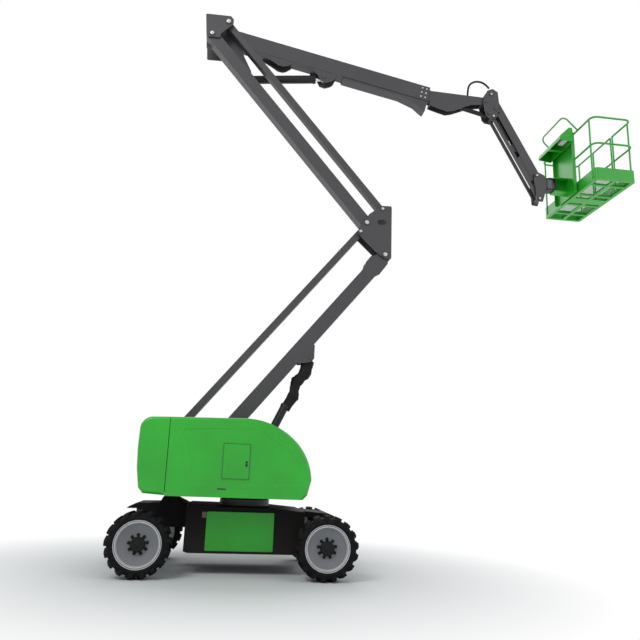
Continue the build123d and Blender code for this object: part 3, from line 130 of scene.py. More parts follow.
FLOOR_HALF = 60.0
floor_mesh = bpy.data.meshes.new("floor")
corners = [(sx * FLOOR_HALF, sy * FLOOR_HALF, cad_box[0][2])
           for sx, sy in ((-1, -1), (1, -1), (1, 1), (-1, 1))]
floor_mesh.from_pydata(corners, [], [(0, 1, 2, 3)])
floor = bpy.data.objects.new("floor", floor_mesh)
floor_mesh.materials.append(floor_finish)
bpy.context.scene.collection.objects.link(floor)

SKY_LIGHT = 0.42
world = bpy.data.worlds.new("overcast")
bpy.context.scene.world = world
world.use_nodes = True
tree = world.node_tree
tree.nodes.clear()
sky = add_node(tree, "ShaderNodeBackground", {"Color": tone("#f4f6f9"), "Strength": SKY_LIGHT})
plain = add_node(tree, "ShaderNodeBackground", {"Color": (1, 1, 1, 1), "Strength": 1.0})
rays = add_node(tree, "ShaderNodeLightPath")
mirror = add_node(tree, "ShaderNodeMath", {"operation": "MAXIMUM"},
                  _0=rays.outputs["Is Camera Ray"], _1=rays.outputs["Is Glossy Ray"])
clear = add_node(tree, "ShaderNodeMath", {"operation": "MAXIMUM"},
                 _0=mirror.outputs[0], _1=rays.outputs["Is Transmission Ray"])
seen = add_node(tree, "ShaderNodeMixShader", {},
                Fac=clear.outputs[0], _1=sky.outputs[0], _2=plain.outputs[0])
add_node(tree, "ShaderNodeOutputWorld", {}, Surface=seen.outputs[0])

LAMPS = [
    # name, place, where it is aimed, watts, width
    ("key", (-7, -11, 13), (0, 0, 3), 820, 6.0),
    ("fill", (11, -9, 8), (1, 0, 4), 210, 8.0),
    ("back", (2, 12, 12), (1, 0, 4), 420, 8.0),
]
for name, place, aim, watts, size in LAMPS:
    lamp = bpy.data.lights.new(name, "AREA")
    lamp.energy = watts
    lamp.size = size
    holder = bpy.data.objects.new(name, lamp)
    holder.location = place
    holder.rotation_euler = (Vector(aim) - Vector(place)).to_track_quat("-Z", "Y").to_euler()
    bpy.context.scene.collection.objects.link(holder)


# ---------------------------------------------------------------- chassis
# The frame is welded from thick plate and sprayed black, and pressed steel covers in green close
# its sides. Dust gathers low down, and corners are rubbed to a paler tone.
def per_metre(size_mm):
    """The noise scale of a pattern whose cells are this many millimetres across."""
    return round(1000 / size_mm, 1)


CLOUD_MM = 588            # slow drift of the shade over a panel
BLOTCH_MM = 26.3          # handling marks, which also break up the rubbed corners
PEEL_MM = 3.03            # orange peel, drawn coarser than the real one so that it shows close up
PEEL_DEEP = 0.0006
DARKER, LIGHTER = 0.86, 1.1
COAT_ROUGHNESS = 0.22
DUST_FOOT, DUST_TOP = 0.1, 1.0
DUST_TONE = "#8c8478"


def sprayed_coat(name, colour, worn, roughness, coat, dust=0.0, chips=0.35, edge=0.004, shine=0.5):
    """A sprayed or moulded coat: orange peel, clouded in shade, worn at its corners, dusty low down."""
    made = bpy.data.materials.new(name)
    made.use_nodes = True
    tree = made.node_tree
    shader = tree.nodes["Principled BSDF"]
    shader.inputs["Coat Weight"].default_value = coat
    shader.inputs["Specular IOR Level"].default_value = shine
    shader.inputs["Coat Roughness"].default_value = COAT_ROUGHNESS
    place = add_node(tree, "ShaderNodeTexCoord")
    at = place.outputs["Object"]
    cloud = add_node(tree, "ShaderNodeTexNoise",
                     {"Scale": per_metre(CLOUD_MM), "Detail": 7.0, "Roughness": 0.6}, Vector=at)
    mottle = add_node(tree, "ShaderNodeTexNoise",
                      {"Scale": per_metre(BLOTCH_MM), "Detail": 5.0, "Roughness": 0.65}, Vector=at)
    peel = add_node(tree, "ShaderNodeTexNoise", {"Scale": per_metre(PEEL_MM), "Detail": 2.0}, Vector=at)
    shade = tone(colour)
    dark = (*[c * DARKER for c in shade[:3]], 1)
    lit = (*[min(1, c * LIGHTER) for c in shade[:3]], 1)
    both = add_node(tree, "ShaderNodeMath", {"operation": "MULTIPLY_ADD", 1: 0.45},
                    _0=mottle.outputs["Fac"], _2=cloud.outputs["Fac"])
    ramp = add_node(tree, "ShaderNodeMapRange", {"From Min": 0.5, "From Max": 0.95},
                    Value=both.outputs[0])
    tint = add_node(tree, "ShaderNodeMix", {"data_type": "RGBA", 6: dark, 7: lit}, _0=ramp.outputs[0])
    # rubbed corners: where the rounded normal leaves the flat one, broken up by the blotches
    rounded = add_node(tree, "ShaderNodeBevel", {"samples": 4, "Radius": edge})
    flat = add_node(tree, "ShaderNodeNewGeometry")
    turn = add_node(tree, "ShaderNodeVectorMath", {"operation": "DOT_PRODUCT"},
                    _0=rounded.outputs[0], _1=flat.outputs["Normal"])
    corner = add_node(tree, "ShaderNodeMapRange", {"From Min": 0.985, "From Max": 0.90},
                      Value=turn.outputs["Value"])
    broken = add_node(tree, "ShaderNodeMapRange", {"From Min": 0.46, "From Max": 0.62, "To Max": chips},
                      Value=mottle.outputs["Fac"])
    rub = add_node(tree, "ShaderNodeMath", {"operation": "MULTIPLY"},
                   _0=corner.outputs[0], _1=broken.outputs[0])
    rubbed = add_node(tree, "ShaderNodeMix", {"data_type": "RGBA", 7: tone(worn)},
                      _0=rub.outputs[0], _6=tint.outputs[2])
    # road dust: thicker near the ground
    height = add_node(tree, "ShaderNodeSeparateXYZ", {}, Vector=flat.outputs["Position"])
    low = add_node(tree, "ShaderNodeMapRange",
                   {"From Min": DUST_TOP, "From Max": DUST_FOOT, "To Max": dust},
                   Value=height.outputs["Z"])
    patch = add_node(tree, "ShaderNodeMath", {"operation": "MULTIPLY"},
                     _0=low.outputs[0], _1=cloud.outputs["Fac"])
    dusty = add_node(tree, "ShaderNodeMix", {"data_type": "RGBA", 7: tone(DUST_TONE)},
                     _0=patch.outputs[0], _6=rubbed.outputs[2])
    rough = add_node(tree, "ShaderNodeMapRange",
                     {"To Min": roughness - 0.08, "To Max": roughness + 0.1}, Value=both.outputs[0])
    bump = add_node(tree, "ShaderNodeBump", {"Strength": 0.12, "Distance": PEEL_DEEP},
                    Height=peel.outputs["Fac"], Normal=rounded.outputs[0])
    tree.links.new(dusty.outputs[2], shader.inputs["Base Color"])
    tree.links.new(rough.outputs[0], shader.inputs["Roughness"])
    tree.links.new(bump.outputs[0], shader.inputs["Normal"])
    return made


def dress(finish, *names):
    """Gives CAD nodes their finish."""
    for name in names:
        mesh = nodes[name].data
        mesh.materials.clear()
        mesh.materials.append(finish)


def facing(place, direction, turn=0.0):
    """A place whose z axis points along a direction, turned about it."""
    look = Vector(direction).to_track_quat("Z", "Y").to_matrix().to_4x4()
    return Matrix.Translation(Vector(place)) @ look @ Matrix.Rotation(turn, 4, "Z")


def turned(mesh, place, profile, steps=40):
    """Adds a turned form: profile points are (height along the place's z, radius)."""
    rings = []
    for along, radius in profile:
        count = steps if radius > 0 else 1
        angles = (2 * math.pi * k / steps for k in range(count))
        rings.append([
            mesh.verts.new(place @ Vector((radius * math.cos(a), radius * math.sin(a), along)))
            for a in angles])
    for low, high in zip(rings, rings[1:]):
        for k in range(steps):
            n = (k + 1) % steps
            loop = [low[k % len(low)], low[n % len(low)], high[n % len(high)], high[k % len(high)]]
            loop = list(dict.fromkeys(loop))
            if len(loop) > 2:
                mesh.faces.new(loop)


def slab(mesh, place, outline, thickness):
    """Adds a plate: its outline lies in the place's xy plane, and its thickness along z."""
    low = [mesh.verts.new(place @ Vector((x, y, -thickness / 2))) for x, y in outline]
    high = [mesh.verts.new(place @ Vector((x, y, thickness / 2))) for x, y in outline]
    mesh.faces.new(low[::-1])
    mesh.faces.new(high)
    for k in range(len(outline)):
        n = (k + 1) % len(outline)
        mesh.faces.new((low[k], low[n], high[n], high[k]))


def rounded_box(width, height, radius, steps=5):
    """The outline of a rectangle with rounded corners, about its middle."""
    points = []
    for k, (sx, sy) in enumerate(((1, 1), (-1, 1), (-1, -1), (1, -1))):
        for j in range(steps + 1):
            a = math.pi / 2 * (k + j / steps)
            points.append((sx * (width / 2 - radius) + radius * math.cos(a),
                           sy * (height / 2 - radius) + radius * math.sin(a)))
    return points


def bolt(mesh, place, across, height):
    """Adds a hexagon head on its washer, standing on the place's xy plane."""
    washer, thick = across * 0.95, height * 0.22
    turned(mesh, place, [(0, washer), (thick, washer), (thick, 0)], 20)
    hexagon = across / math.sqrt(3)
    turned(mesh, place, [
        (height * 0.2, hexagon), (height * 0.85, hexagon), (height, hexagon * 0.84), (height, 0)], 6)


def piece(name, mesh, finish, body, bevel=0.0, smooth=32):
    """Turns mesh code into a piece that rides on a body, with soft corners where a bevel is given."""
    bmesh.ops.recalc_face_normals(mesh, faces=mesh.faces)
    data = bpy.data.meshes.new(name)
    mesh.to_mesh(data)
    mesh.free()
    made = bpy.data.objects.new(name, data)
    bpy.context.scene.collection.objects.link(made)
    data.materials.append(finish)
    if bevel:
        softened = made.modifiers.new("bevel", "BEVEL")
        softened.width = bevel
        softened.segments = 2
        softened.limit_method = "ANGLE"
    data.shade_smooth()
    data.set_sharp_from_angle(angle=math.radians(smooth))
    if body:
        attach(made, body)
    return made


# chassis black on blasted plate: nearly matt, with a faint grey bloom of dust at the foot
chassis_paint = sprayed_coat("black_chassis_paint", "#0b0b0c", "#4b4843", 0.6, 0.0, dust=0.12,
                             chips=0.25, shine=0.12)
# enamel on pressed steel: a deep green with a soft gloss
cover_paint = sprayed_coat("green_cover_paint", "#0f9c12", "#7f8a74", 0.42, 0.15, dust=0.06)
dress(chassis_paint, "chassis_frame", "drive_axle", "steer_axle", "knuckle_near", "knuckle_far")
dress(cover_paint, "side_covers")

# ---------------------------------------------------------------- bright fasteners
# Bolts and pin keepers are pressed and turned steel, zinc plated: a pale satin metal with a
# faint cloudy bloom.
zinc = bpy.data.materials.new("zinc_plated_steel")
zinc.use_nodes = True
tree = zinc.node_tree
shader = tree.nodes["Principled BSDF"]
shader.inputs["Metallic"].default_value = 1.0
bloom = add_node(tree, "ShaderNodeTexNoise", {"Scale": per_metre(16.67), "Detail": 4.0})
haze = add_node(tree, "ShaderNodeMix", {"data_type": "RGBA", 6: tone("#a9abab"), 7: tone("#d6d6d2")},
                _0=bloom.outputs["Fac"])
satin = add_node(tree, "ShaderNodeMapRange", {"To Min": 0.28, "To Max": 0.5}, Value=bloom.outputs["Fac"])
tree.links.new(haze.outputs[2], shader.inputs["Base Color"])
tree.links.new(satin.outputs[0], shader.inputs["Roughness"])

NEAR = (0, -1, 0)
FAR = (0, 1, 0)

# bolts at each side cover's corners
COVER_BOLT = (0.013, 0.006)     # across the flats, and height
BOLT_INSET = 0.03
BOLT_SHARES = (0.06, 0.94)      # of the cover's height
cover_low, cover_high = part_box("side_covers")
cover_bolts = bmesh.new()
for side, look in ((cover_low[1], NEAR), (cover_high[1], FAR)):
    for x in (cover_low[0] + BOLT_INSET, cover_high[0] - BOLT_INSET):
        for share in BOLT_SHARES:
            z = cover_low[2] + share * (cover_high[2] - cover_low[2])
            bolt(cover_bolts, facing((x, side, z), look), *COVER_BOLT)
piece("cover_bolts", cover_bolts, cover_paint, "chassis")

# a flat plate at each cover's upper corner, standing in for light reflected off the chassis corner: a
# painted highlight
corner_highlight_plate = bmesh.new()
for y in (cover_low[1] + 0.010, cover_high[1] - 0.010):
    spot = facing((cover_low[0] - 0.035, y, cover_high[2] - 0.045), NEAR)
    slab(corner_highlight_plate, spot, rounded_box(0.06, 0.08, 0.01), 0.008)
# flat brown, dusty: the colour of the painted highlight
highlight_brown = sprayed_coat("brown_painted_highlight", "#6b5f57", "#8a8178", 0.7, 0.0, dust=0.3)
piece("cover_corner_highlights", corner_highlight_plate, highlight_brown, "chassis", bevel=0.001)

# ---------------------------------------------------------------- tyres
# Each tyre is moulded black rubber: a round carcass with a ribbed sidewall, and chunky lugs on
# both shoulders, slanted and set half a pitch apart. Dust sits in the tread and on the sidewall.
# cured rubber is a flat charcoal, smeared paler where soil has dried on it, with a gritty skin
rubber = bpy.data.materials.new("moulded_tyre_rubber")
rubber.use_nodes = True
tree = rubber.node_tree
shader = tree.nodes["Principled BSDF"]
shader.inputs["Specular IOR Level"].default_value = 0.15
place = add_node(tree, "ShaderNodeTexCoord")
smear = add_node(tree, "ShaderNodeTexNoise", {"Scale": per_metre(111), "Detail": 8.0, "Roughness": 0.7},
                 Vector=place.outputs["Object"])
grit = add_node(tree, "ShaderNodeTexNoise", {"Scale": per_metre(2.381), "Detail": 3.0},
                Vector=place.outputs["Object"])
dust_part = add_node(tree, "ShaderNodeMapRange", {"From Min": 0.42, "From Max": 0.72, "To Max": 0.55},
                     Value=smear.outputs["Fac"])
soil = add_node(tree, "ShaderNodeMix", {"data_type": "RGBA", 6: tone("#0d0d0f"), 7: tone("#2b2826")},
                _0=dust_part.outputs[0])
dull = add_node(tree, "ShaderNodeMapRange", {"To Min": 0.62, "To Max": 0.9}, Value=smear.outputs["Fac"])
grain = add_node(tree, "ShaderNodeBump", {"Strength": 0.25, "Distance": 0.001}, Height=grit.outputs["Fac"])
tree.links.new(soil.outputs[2], shader.inputs["Base Color"])
tree.links.new(dull.outputs[0], shader.inputs["Roughness"])
tree.links.new(grain.outputs[0], shader.inputs["Normal"])

TYRE_R = 0.431
WHEEL_X = 1.25
WHEEL_Y = 1.045
LUGS = 17                 # on each shoulder
LUG_HALF = 0.031          # half a lug's width
LUG_TIP = 0.72            # how much of that width is left at the tip past the middle
LUG_TOP, LUG_FOOT = 0.92, 1.12
LUG_FOOT_OUT = 0.150      # how far out a lug's foot goes
TYRE_STEPS = 72
# across the tyre, from the middle out: (along the axle, radius), closed by the bead inside
CARCASS = [
    (0.0, 0.399), (0.06, 0.398), (0.110, 0.394), (0.136, 0.384), (0.149, 0.368), (0.156, 0.345),
    (0.156, 0.340), (0.159, 0.339), (0.159, 0.334), (0.156, 0.333), (0.151, 0.322), (0.141, 0.3125),
    (0.129, 0.312)]
# along a lug, from its tip near the middle to its foot on the sidewall:
# along the axle, radius of its top, radius of its foot, how far round it has swept
LUG_RUN = [
    (-0.012, 0.4285, 0.392, 0.0), (0.030, 0.4305, 0.392, 0.05), (0.080, 0.4300, 0.390, 0.105),
    (0.125, 0.4275, 0.385, 0.145), (0.150, 0.4210, 0.372, 0.160), (0.1625, 0.4030, 0.365, 0.165),
    (0.1625, 0.3700, 0.350, 0.168)]


def lug(mesh, place, side, start):
    """Adds one tread lug: blocks from station to station, swept round the tyre as they go out."""
    rows = []
    for along, high, low, sweep in LUG_RUN:
        half = LUG_HALF * (1.0 if along > 0 else LUG_TIP)
        row = []
        for radius, share in ((low, -LUG_FOOT), (high, -LUG_TOP), (high, LUG_TOP), (low, LUG_FOOT)):
            angle = start + side * sweep + share * half / TYRE_R
            out = side * (along if radius == high else min(along, LUG_FOOT_OUT))
            spot = Vector((radius * math.cos(angle), radius * math.sin(angle), out))
            row.append(mesh.verts.new(place @ spot))
        rows.append(row)
    for one, two in zip(rows, rows[1:]):
        for k in range(4):
            n = (k + 1) % 4
            mesh.faces.new((one[k], one[n], two[n], two[k]))
    mesh.faces.new(rows[0][::-1])
    mesh.faces.new(rows[-1])


wheels = [(f"{end}_{hand}", x, y) for end, x in (("steer", -WHEEL_X), ("drive", WHEEL_X))
          for hand, y in (("near", -WHEEL_Y), ("far", WHEEL_Y))]
for name, x, y in wheels:
    outward = facing((x, y, TYRE_R), NEAR if y < 0 else FAR)
    made = bmesh.new()
    ring = CARCASS[::-1] + [(-across, radius) for across, radius in CARCASS[1:]]
    turned(made, outward, ring, TYRE_STEPS)
    for k in range(LUGS):
        turn = 2 * math.pi * k / LUGS
        lug(made, outward, 1, turn)
        lug(made, outward, -1, turn + math.pi / LUGS)
    tyre = piece(f"tyre_{name}_tread", made, rubber, f"wheel_{name}", bevel=0.003)
    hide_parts(f"tyre_{name}")

# ---------------------------------------------------------------- rims and hubs
# A pressed steel rim and dished disc, sprayed silver, bolted to a black cast hub by a ring of
# studs and nuts. The rim's rolled edge carries a painted highlight, and the groove inside it painted shade.
# wheel silver: a pale satin grey, dusty and chipped at its edges
silver = sprayed_coat("silver_wheel_paint", "#c3c6ca", "#6f6a63", 0.34, 0.3, dust=0.25, chips=0.4,
                      edge=0.003)
# the dish's duller grey, with more road film
dish_grey = sprayed_coat("grey_disc_paint", "#73767c", "#4f4b46", 0.5, 0.1, dust=0.3)
# enamel on cast iron: black with a low shine, also given to the wheel nuts as painted shade
hub_paint = sprayed_coat("black_hub_enamel", "#060607", "#4b4843", 0.36, 0.05, dust=0.04, shine=0.2)
dress(silver, *[f"rim_{name}" for name, _, _ in wheels])
dress(hub_paint, *[f"hub_{name}" for name, _, _ in wheels])

# silver painted paler as a painted highlight on the rim's rolled lips: the palest and glossiest part of the
# wheel
lip_highlight_silver = sprayed_coat("silver_lip_painted_highlight", "#e2e4e6", "#9a9a98", 0.28, 0.4, chips=0.2)
DISC_FACE = 0.051         # the disc's flat, outboard of the wheel's middle
STUDS = 9
STUD_TURN = 0.3           # of a pitch, from level
STUD_CIRCLE = 0.120
WHEEL_NUT = (0.024, 0.017)
CAP_RIBS = 10
CAP_RIB = (0.011, 0.007)
CAP_CIRCLE = 0.072
CAP_FACE = 0.112
for name, x, y in wheels:
    look = NEAR if y < 0 else FAR
    side = -1 if y < 0 else 1
    # the nuts and their studs take the hub's black, as painted shade where they stand in shadow round the
    # hub
    nuts = bmesh.new()
    for k in range(STUDS):
        turn = 2 * math.pi * (k + STUD_TURN) / STUDS
        at = (x + STUD_CIRCLE * math.cos(turn), y + side * DISC_FACE,
              TYRE_R + STUD_CIRCLE * math.sin(turn))
        bolt(nuts, facing(at, look, turn), *WHEEL_NUT)
        turned(nuts, facing(at, look), [(0.0, 0.008), (0.027, 0.008), (0.029, 0.006), (0.029, 0)], 12)
    piece(f"wheel_nuts_painted_shade_{name}", nuts, hub_paint, f"wheel_{name}")
    # dish liner: the cone between the hub's flange and the rim, with a rolled edge
    liner = bmesh.new()
    turned(liner, facing((x, y, TYRE_R), look), [
        (0.0515, 0.104), (0.0522, 0.150), (0.094, 0.266), (0.097, 0.272), (0.0945, 0.276)], 64)
    piece(f"dish_{name}", liner, dish_grey, f"wheel_{name}")
    # the rim's rolled lip and the step inside it, both painted paler as painted highlights, with a darker
    # ring between them as painted shade in the groove
    lip = bmesh.new()
    for rise, radius, width in ((0.1245, 0.3055, 0.0055), (0.1245, 0.2850, 0.0050)):
        turned(lip, facing((x, y, TYRE_R), look), [
            (rise, radius + width), (rise + 0.004, radius + width * 0.7), (rise + 0.005, radius),
            (rise + 0.004, radius - width * 0.7), (rise, radius - width)], 72)
    piece(f"rim_lip_highlights_{name}", lip, lip_highlight_silver, f"wheel_{name}")
    # a darker grey ring in the groove between the lips: painted shade
    shaded_groove = bmesh.new()
    turned(shaded_groove, facing((x, y, TYRE_R), look), [(0.1255, 0.300), (0.1258, 0.290)], 72)
    piece(f"rim_groove_painted_shade_{name}", shaded_groove, dish_grey, f"wheel_{name}")
    # ribs pressed into the hub's cap, and its plug
    cap = bmesh.new()
    for k in range(CAP_RIBS):
        turn = 2 * math.pi * k / CAP_RIBS
        at = (x + CAP_CIRCLE * math.cos(turn), y + side * CAP_FACE,
              TYRE_R + CAP_CIRCLE * math.sin(turn))
        bolt(cap, facing(at, look, turn), *CAP_RIB)
    turned(cap, facing((x, y + side * CAP_FACE, TYRE_R), look), [
        (0.0, 0.050), (0.004, 0.048), (0.005, 0.030), (0.011, 0.026), (0.012, 0)], 32)
    piece(f"hub_cap_{name}", cap, hub_paint, f"wheel_{name}")

# ---------------------------------------------------------------- slew ring and turntable
# A forged ring on ball bearings, bolted down on the frame. The turntable is folded and welded
# plate in the frame's black, with the engine and tanks standing on it under the hoods.
# forged steel under a film of oil: brown grey, half dull
forged = sprayed_coat("oiled_forged_steel", "#55524d", "#8d8981", 0.42, 0.0, dust=0.2)
# the frame's black again, a little less dusty
turret_paint = sprayed_coat("black_turntable_paint", "#0d0e10", "#4b4843", 0.58, 0.0, dust=0.1,
                            shine=0.14)
# engine enamel: mid grey, half matt
engine_paint = sprayed_coat("grey_engine_enamel", "#6d7175", "#9a9890", 0.5, 0.1)
# moulded black plastic: a flat dark grey
panel_finish = sprayed_coat("black_moulded_panel", "#1d1e20", "#55544f", 0.55, 0.0)
dress(forged, "slew_ring")
dress(turret_paint, "turntable")
dress(engine_paint, "engine_block", "tank_block")
dress(panel_finish, "ground_controls")

SLEW_X = 0.13
RING_BOLTS = 24
RING_BOLT = (0.013, 0.008)
RING_R = 0.360
RING_Z = 0.958
ring_bolts = bmesh.new()
for k in range(RING_BOLTS):
    turn = 2 * math.pi * (k + 0.5) / RING_BOLTS
    at = (SLEW_X + RING_R * math.cos(turn), RING_R * math.sin(turn), RING_Z)
    bolt(ring_bolts, facing(at, (math.cos(turn), math.sin(turn), 0)), *RING_BOLT)
piece("slew_ring_bolts", ring_bolts, zinc, "chassis")

# ---------------------------------------------------------------- hoods and counterweight
# The hoods are moulded glass-fibre shells and the counterweight a steel casting, all in one
# glossy green. A key lock holds the small door, and a pull latch the hood.
# gelcoat: a clean bright green under a clear gloss, hardly worn
hood_paint = sprayed_coat("green_gelcoat", "#0cab12", "#5fae55", 0.3, 0.35, dust=0.08, chips=0.1,
                          edge=0.006)
dress(hood_paint, "counterweight", "hood_near", "hood_far", "access_door")

# black-plated steel: dark and half dull, rubbed grey at its corners
matt_black = sprayed_coat("black_zinc_hardware", "#141517", "#5b5853", 0.45, 0.1)
DOOR_FACE = -1.106
LOCK_X = 0.098
lock = bmesh.new()
turned(lock, facing((LOCK_X, DOOR_FACE, 1.527), NEAR), [
    (-0.004, 0.017), (0.004, 0.017), (0.006, 0.014), (0.006, 0.006), (0.002, 0.005), (0.002, 0)], 28)
slab(lock, facing((LOCK_X, DOOR_FACE - 0.001, 1.486), NEAR), rounded_box(0.030, 0.036, 0.006), 0.006)
piece("door_lock", lock, matt_black, "access_door", bevel=0.0006)

# painted shade along the seam round the door, in four black strips: middle x and z, width, height
SEAM_SHADE_STRIPS = ((-0.0435, 1.3015, 0.369, 0.005), (-0.0435, 1.7685, 0.369, 0.005),
               (-0.2245, 1.535, 0.005, 0.472), (0.1375, 1.535, 0.005, 0.472))
SEAM_SHADE_DEEP = 0.0122
door_seam_shade = bmesh.new()
for x, z, wide, high in SEAM_SHADE_STRIPS:
    slab(door_seam_shade, facing((x, DOOR_FACE + 0.0055, z), NEAR), rounded_box(wide, high, 0.002, 2),
         SEAM_SHADE_DEEP)
piece("door_seam_shade", door_seam_shade, matt_black, "access_door")

# the moulded lip round each hood's sunk panel, drawn in a paler green all round as a painted highlight
# along the panel's edge
PANEL = [(-0.812, 1.950), (0.156, 2.004), (0.321, 1.941), (0.706, 1.686), (0.862, 1.534),
         (0.890, 1.238), (-0.605, 1.207)]
LIP_ROUND = 0.060
LIP_R = 0.0042
LIP_Y = 1.0965
LIP_SIDES = 8
CORNER_STEPS = 6
edge_highlight_gelcoat = sprayed_coat("green_gelcoat_painted_highlight", "#3dbb3f", "#7fc276", 0.3, 0.35, dust=0.05, chips=0.1)
route = []
for k, corner in enumerate(PANEL):
    here = Vector(corner)
    before = Vector(PANEL[k - 1])
    after = Vector(PANEL[(k + 1) % len(PANEL)])
    start = here + (before - here).normalized() * LIP_ROUND
    end = here + (after - here).normalized() * LIP_ROUND
    for j in range(CORNER_STEPS + 1):
        t = j / CORNER_STEPS
        route.append(start * (1 - t) ** 2 + here * 2 * t * (1 - t) + end * t ** 2)
for hand, side in (("near", -1), ("far", 1)):
    lip = bmesh.new()
    rows = []
    for k, spot in enumerate(route):
        way = (route[(k + 1) % len(route)] - route[k - 1]).normalized()
        across = Vector((way.y, -way.x))
        row = []
        for j in range(LIP_SIDES):
            turn = 2 * math.pi * j / LIP_SIDES
            at = spot + across * LIP_R * math.cos(turn)
            row.append(lip.verts.new((at.x, side * (LIP_Y + LIP_R * math.sin(turn)), at.y)))
        rows.append(row)
    for k, row in enumerate(rows):
        other = rows[(k + 1) % len(rows)]
        for j in range(LIP_SIDES):
            n = (j + 1) % LIP_SIDES
            lip.faces.new((row[j], row[n], other[n], other[j]))
    piece(f"panel_lip_highlight_{hand}", lip, edge_highlight_gelcoat, f"hood_{hand}", smooth=60)

LATCH_Y = 1.0945
LATCH_Z = 1.162
for hand, y, look in (("near", -LATCH_Y, NEAR), ("far", LATCH_Y, FAR)):
    latch = bmesh.new()
    slab(latch, facing((-0.234, y, LATCH_Z), look), rounded_box(0.186, 0.036, 0.008), 0.006)
    slab(latch, facing((-0.220, y * 1.0025, LATCH_Z), look), rounded_box(0.120, 0.020, 0.008), 0.006)
    piece(f"hood_latch_{hand}", latch, matt_black, f"hood_{hand}", bevel=0.001)

# ---------------------------------------------------------------- riser and booms
# The lifting arms are box sections folded and welded from high-tensile plate, and turn on cross
# pins held by zinc-plated keepers.
# boom enamel: a dark grey with a soft gloss, rubbed paler along its corners
boom_paint = sprayed_coat("dark_grey_boom_paint", "#38373a", "#7d7c7a", 0.42, 0.15, chips=0.35)
dress(boom_paint, "lower_arm", "lower_link", "mid_knuckle", "upper_tube", "upper_link", "top_knuckle",
      "boom_outer", "hose_tray", "boom_inner", "jib_base", "jib_arm", "jib_link", "jib_head")

# pin keepers: a zinc disc and a bolt on the end of each cross pin
ARM_FOOT = (-0.590, 1.520)
ARM_HEAD = (2.1984, 4.9881)
TUBE_HEAD = (-0.9218, 8.7905)
BOOM_PIVOT = (-0.6548, 9.0605)
LINK_STEP = (-0.422, 0.373)
TUBE_STEP = (-0.319, 0.540)
UPPER_STEP = (0.267, 0.270)
JIB_TOP = (4.2752, 8.4498)
JIB_LINK_TOP = (4.3072, 7.9958)
JIB_END = (5.1109, 6.8781)
JIB_LINK_END = (5.1429, 6.4241)


def moved(place, step):
    """A place in the side view, moved by a step."""
    return (place[0] + step[0], place[1] + step[1])


TUBE_FOOT = moved(ARM_HEAD, TUBE_STEP)
ARM_PIN, LINK_PIN, BOOM_PIN, JIB_PIN = 0.035, 0.025, 0.040, 0.022     # radii
RISER_SIDES = (-0.2995, -0.0105)                                     # near and far faces
BOOM_SIDES = (-0.2995, 0.307)
JIB_SIDES = (0.033, 0.277)
PIN_ENDS = [
    ("turret", ARM_FOOT, ARM_PIN, RISER_SIDES),
    ("turret", moved(ARM_FOOT, LINK_STEP), LINK_PIN, RISER_SIDES),
    ("mid_knuckle", ARM_HEAD, ARM_PIN, RISER_SIDES),
    ("mid_knuckle", moved(ARM_HEAD, LINK_STEP), LINK_PIN, RISER_SIDES),
    ("mid_knuckle", TUBE_FOOT, ARM_PIN, RISER_SIDES),
    ("mid_knuckle", moved(TUBE_FOOT, UPPER_STEP), LINK_PIN, RISER_SIDES),
    ("top_knuckle", TUBE_HEAD, ARM_PIN, RISER_SIDES),
    ("top_knuckle", BOOM_PIVOT, BOOM_PIN, BOOM_SIDES),
    ("jib_base", JIB_TOP, JIB_PIN, JIB_SIDES), ("jib_base", JIB_LINK_TOP, JIB_PIN, JIB_SIDES),
    ("jib_head", JIB_END, JIB_PIN, JIB_SIDES), ("jib_head", JIB_LINK_END, JIB_PIN, JIB_SIDES),
]
keepers = {}
for body, (x, z), radius, (low, high) in PIN_ENDS:
    made = keepers.setdefault(body, bmesh.new())
    for y, look in ((low, NEAR), (high, FAR)):
        end = facing((x, y, z), look)
        turned(made, end, [
            (-0.001, radius * 0.92), (0.003, radius * 0.92), (0.004, radius * 0.84), (0.004, 0)], 28)
        bolt(made, end @ Matrix.Translation((0, 0, 0.004)), radius * 0.62, 0.010)
for body, made in keepers.items():
    piece(f"pin_ends_{body}", made, zinc, body)

# the screws of the wear pads at the boom's mouth, on its two sides and its top
BOOM_SLOPE = math.radians(-11)
PAD_SCREW = (0.017, 0.006)


def on_boom(along, up):
    """A place in the side view, along the boom's line and above it."""
    x = BOOM_PIVOT[0] + along * math.cos(BOOM_SLOPE) - up * math.sin(BOOM_SLOPE)
    return x, BOOM_PIVOT[1] + along * math.sin(BOOM_SLOPE) + up * math.cos(BOOM_SLOPE)


pads = bmesh.new()
for along in (3.66, 3.74):
    for up in (0.055, -0.035, -0.125):
        x, z = on_boom(along, up)
        for y, look in ((0.045, NEAR), (0.265, FAR)):
            bolt(pads, facing((x, y, z), look), *PAD_SCREW)
    for y in (0.105, 0.205):
        x, z = on_boom(along, 0.107)
        bolt(pads, facing((x, y, z), (0.191, 0, 0.982)), *PAD_SCREW)
piece("wear_pad_bolts", pads, zinc, "boom")

# ---------------------------------------------------------------- hydraulic cylinders
# Cylinders are honed tube with welded ends, sprayed black; rods are ground and hard-chromed, and
# shine. The lift cylinder's rod is wrapped in a loose rubber boot against dirt.
# enamel on turned tube: black, with a narrow line of shine along it
cylinder_paint = sprayed_coat("black_cylinder_enamel", "#0d0e0f", "#55524e", 0.34, 0.1, shine=0.3)
dress(cylinder_paint, "riser_cyl_barrel", "boom_cyl_barrel", "slave_cyl_barrel", "jib_cyl_barrel",
      "rotator_flanges")
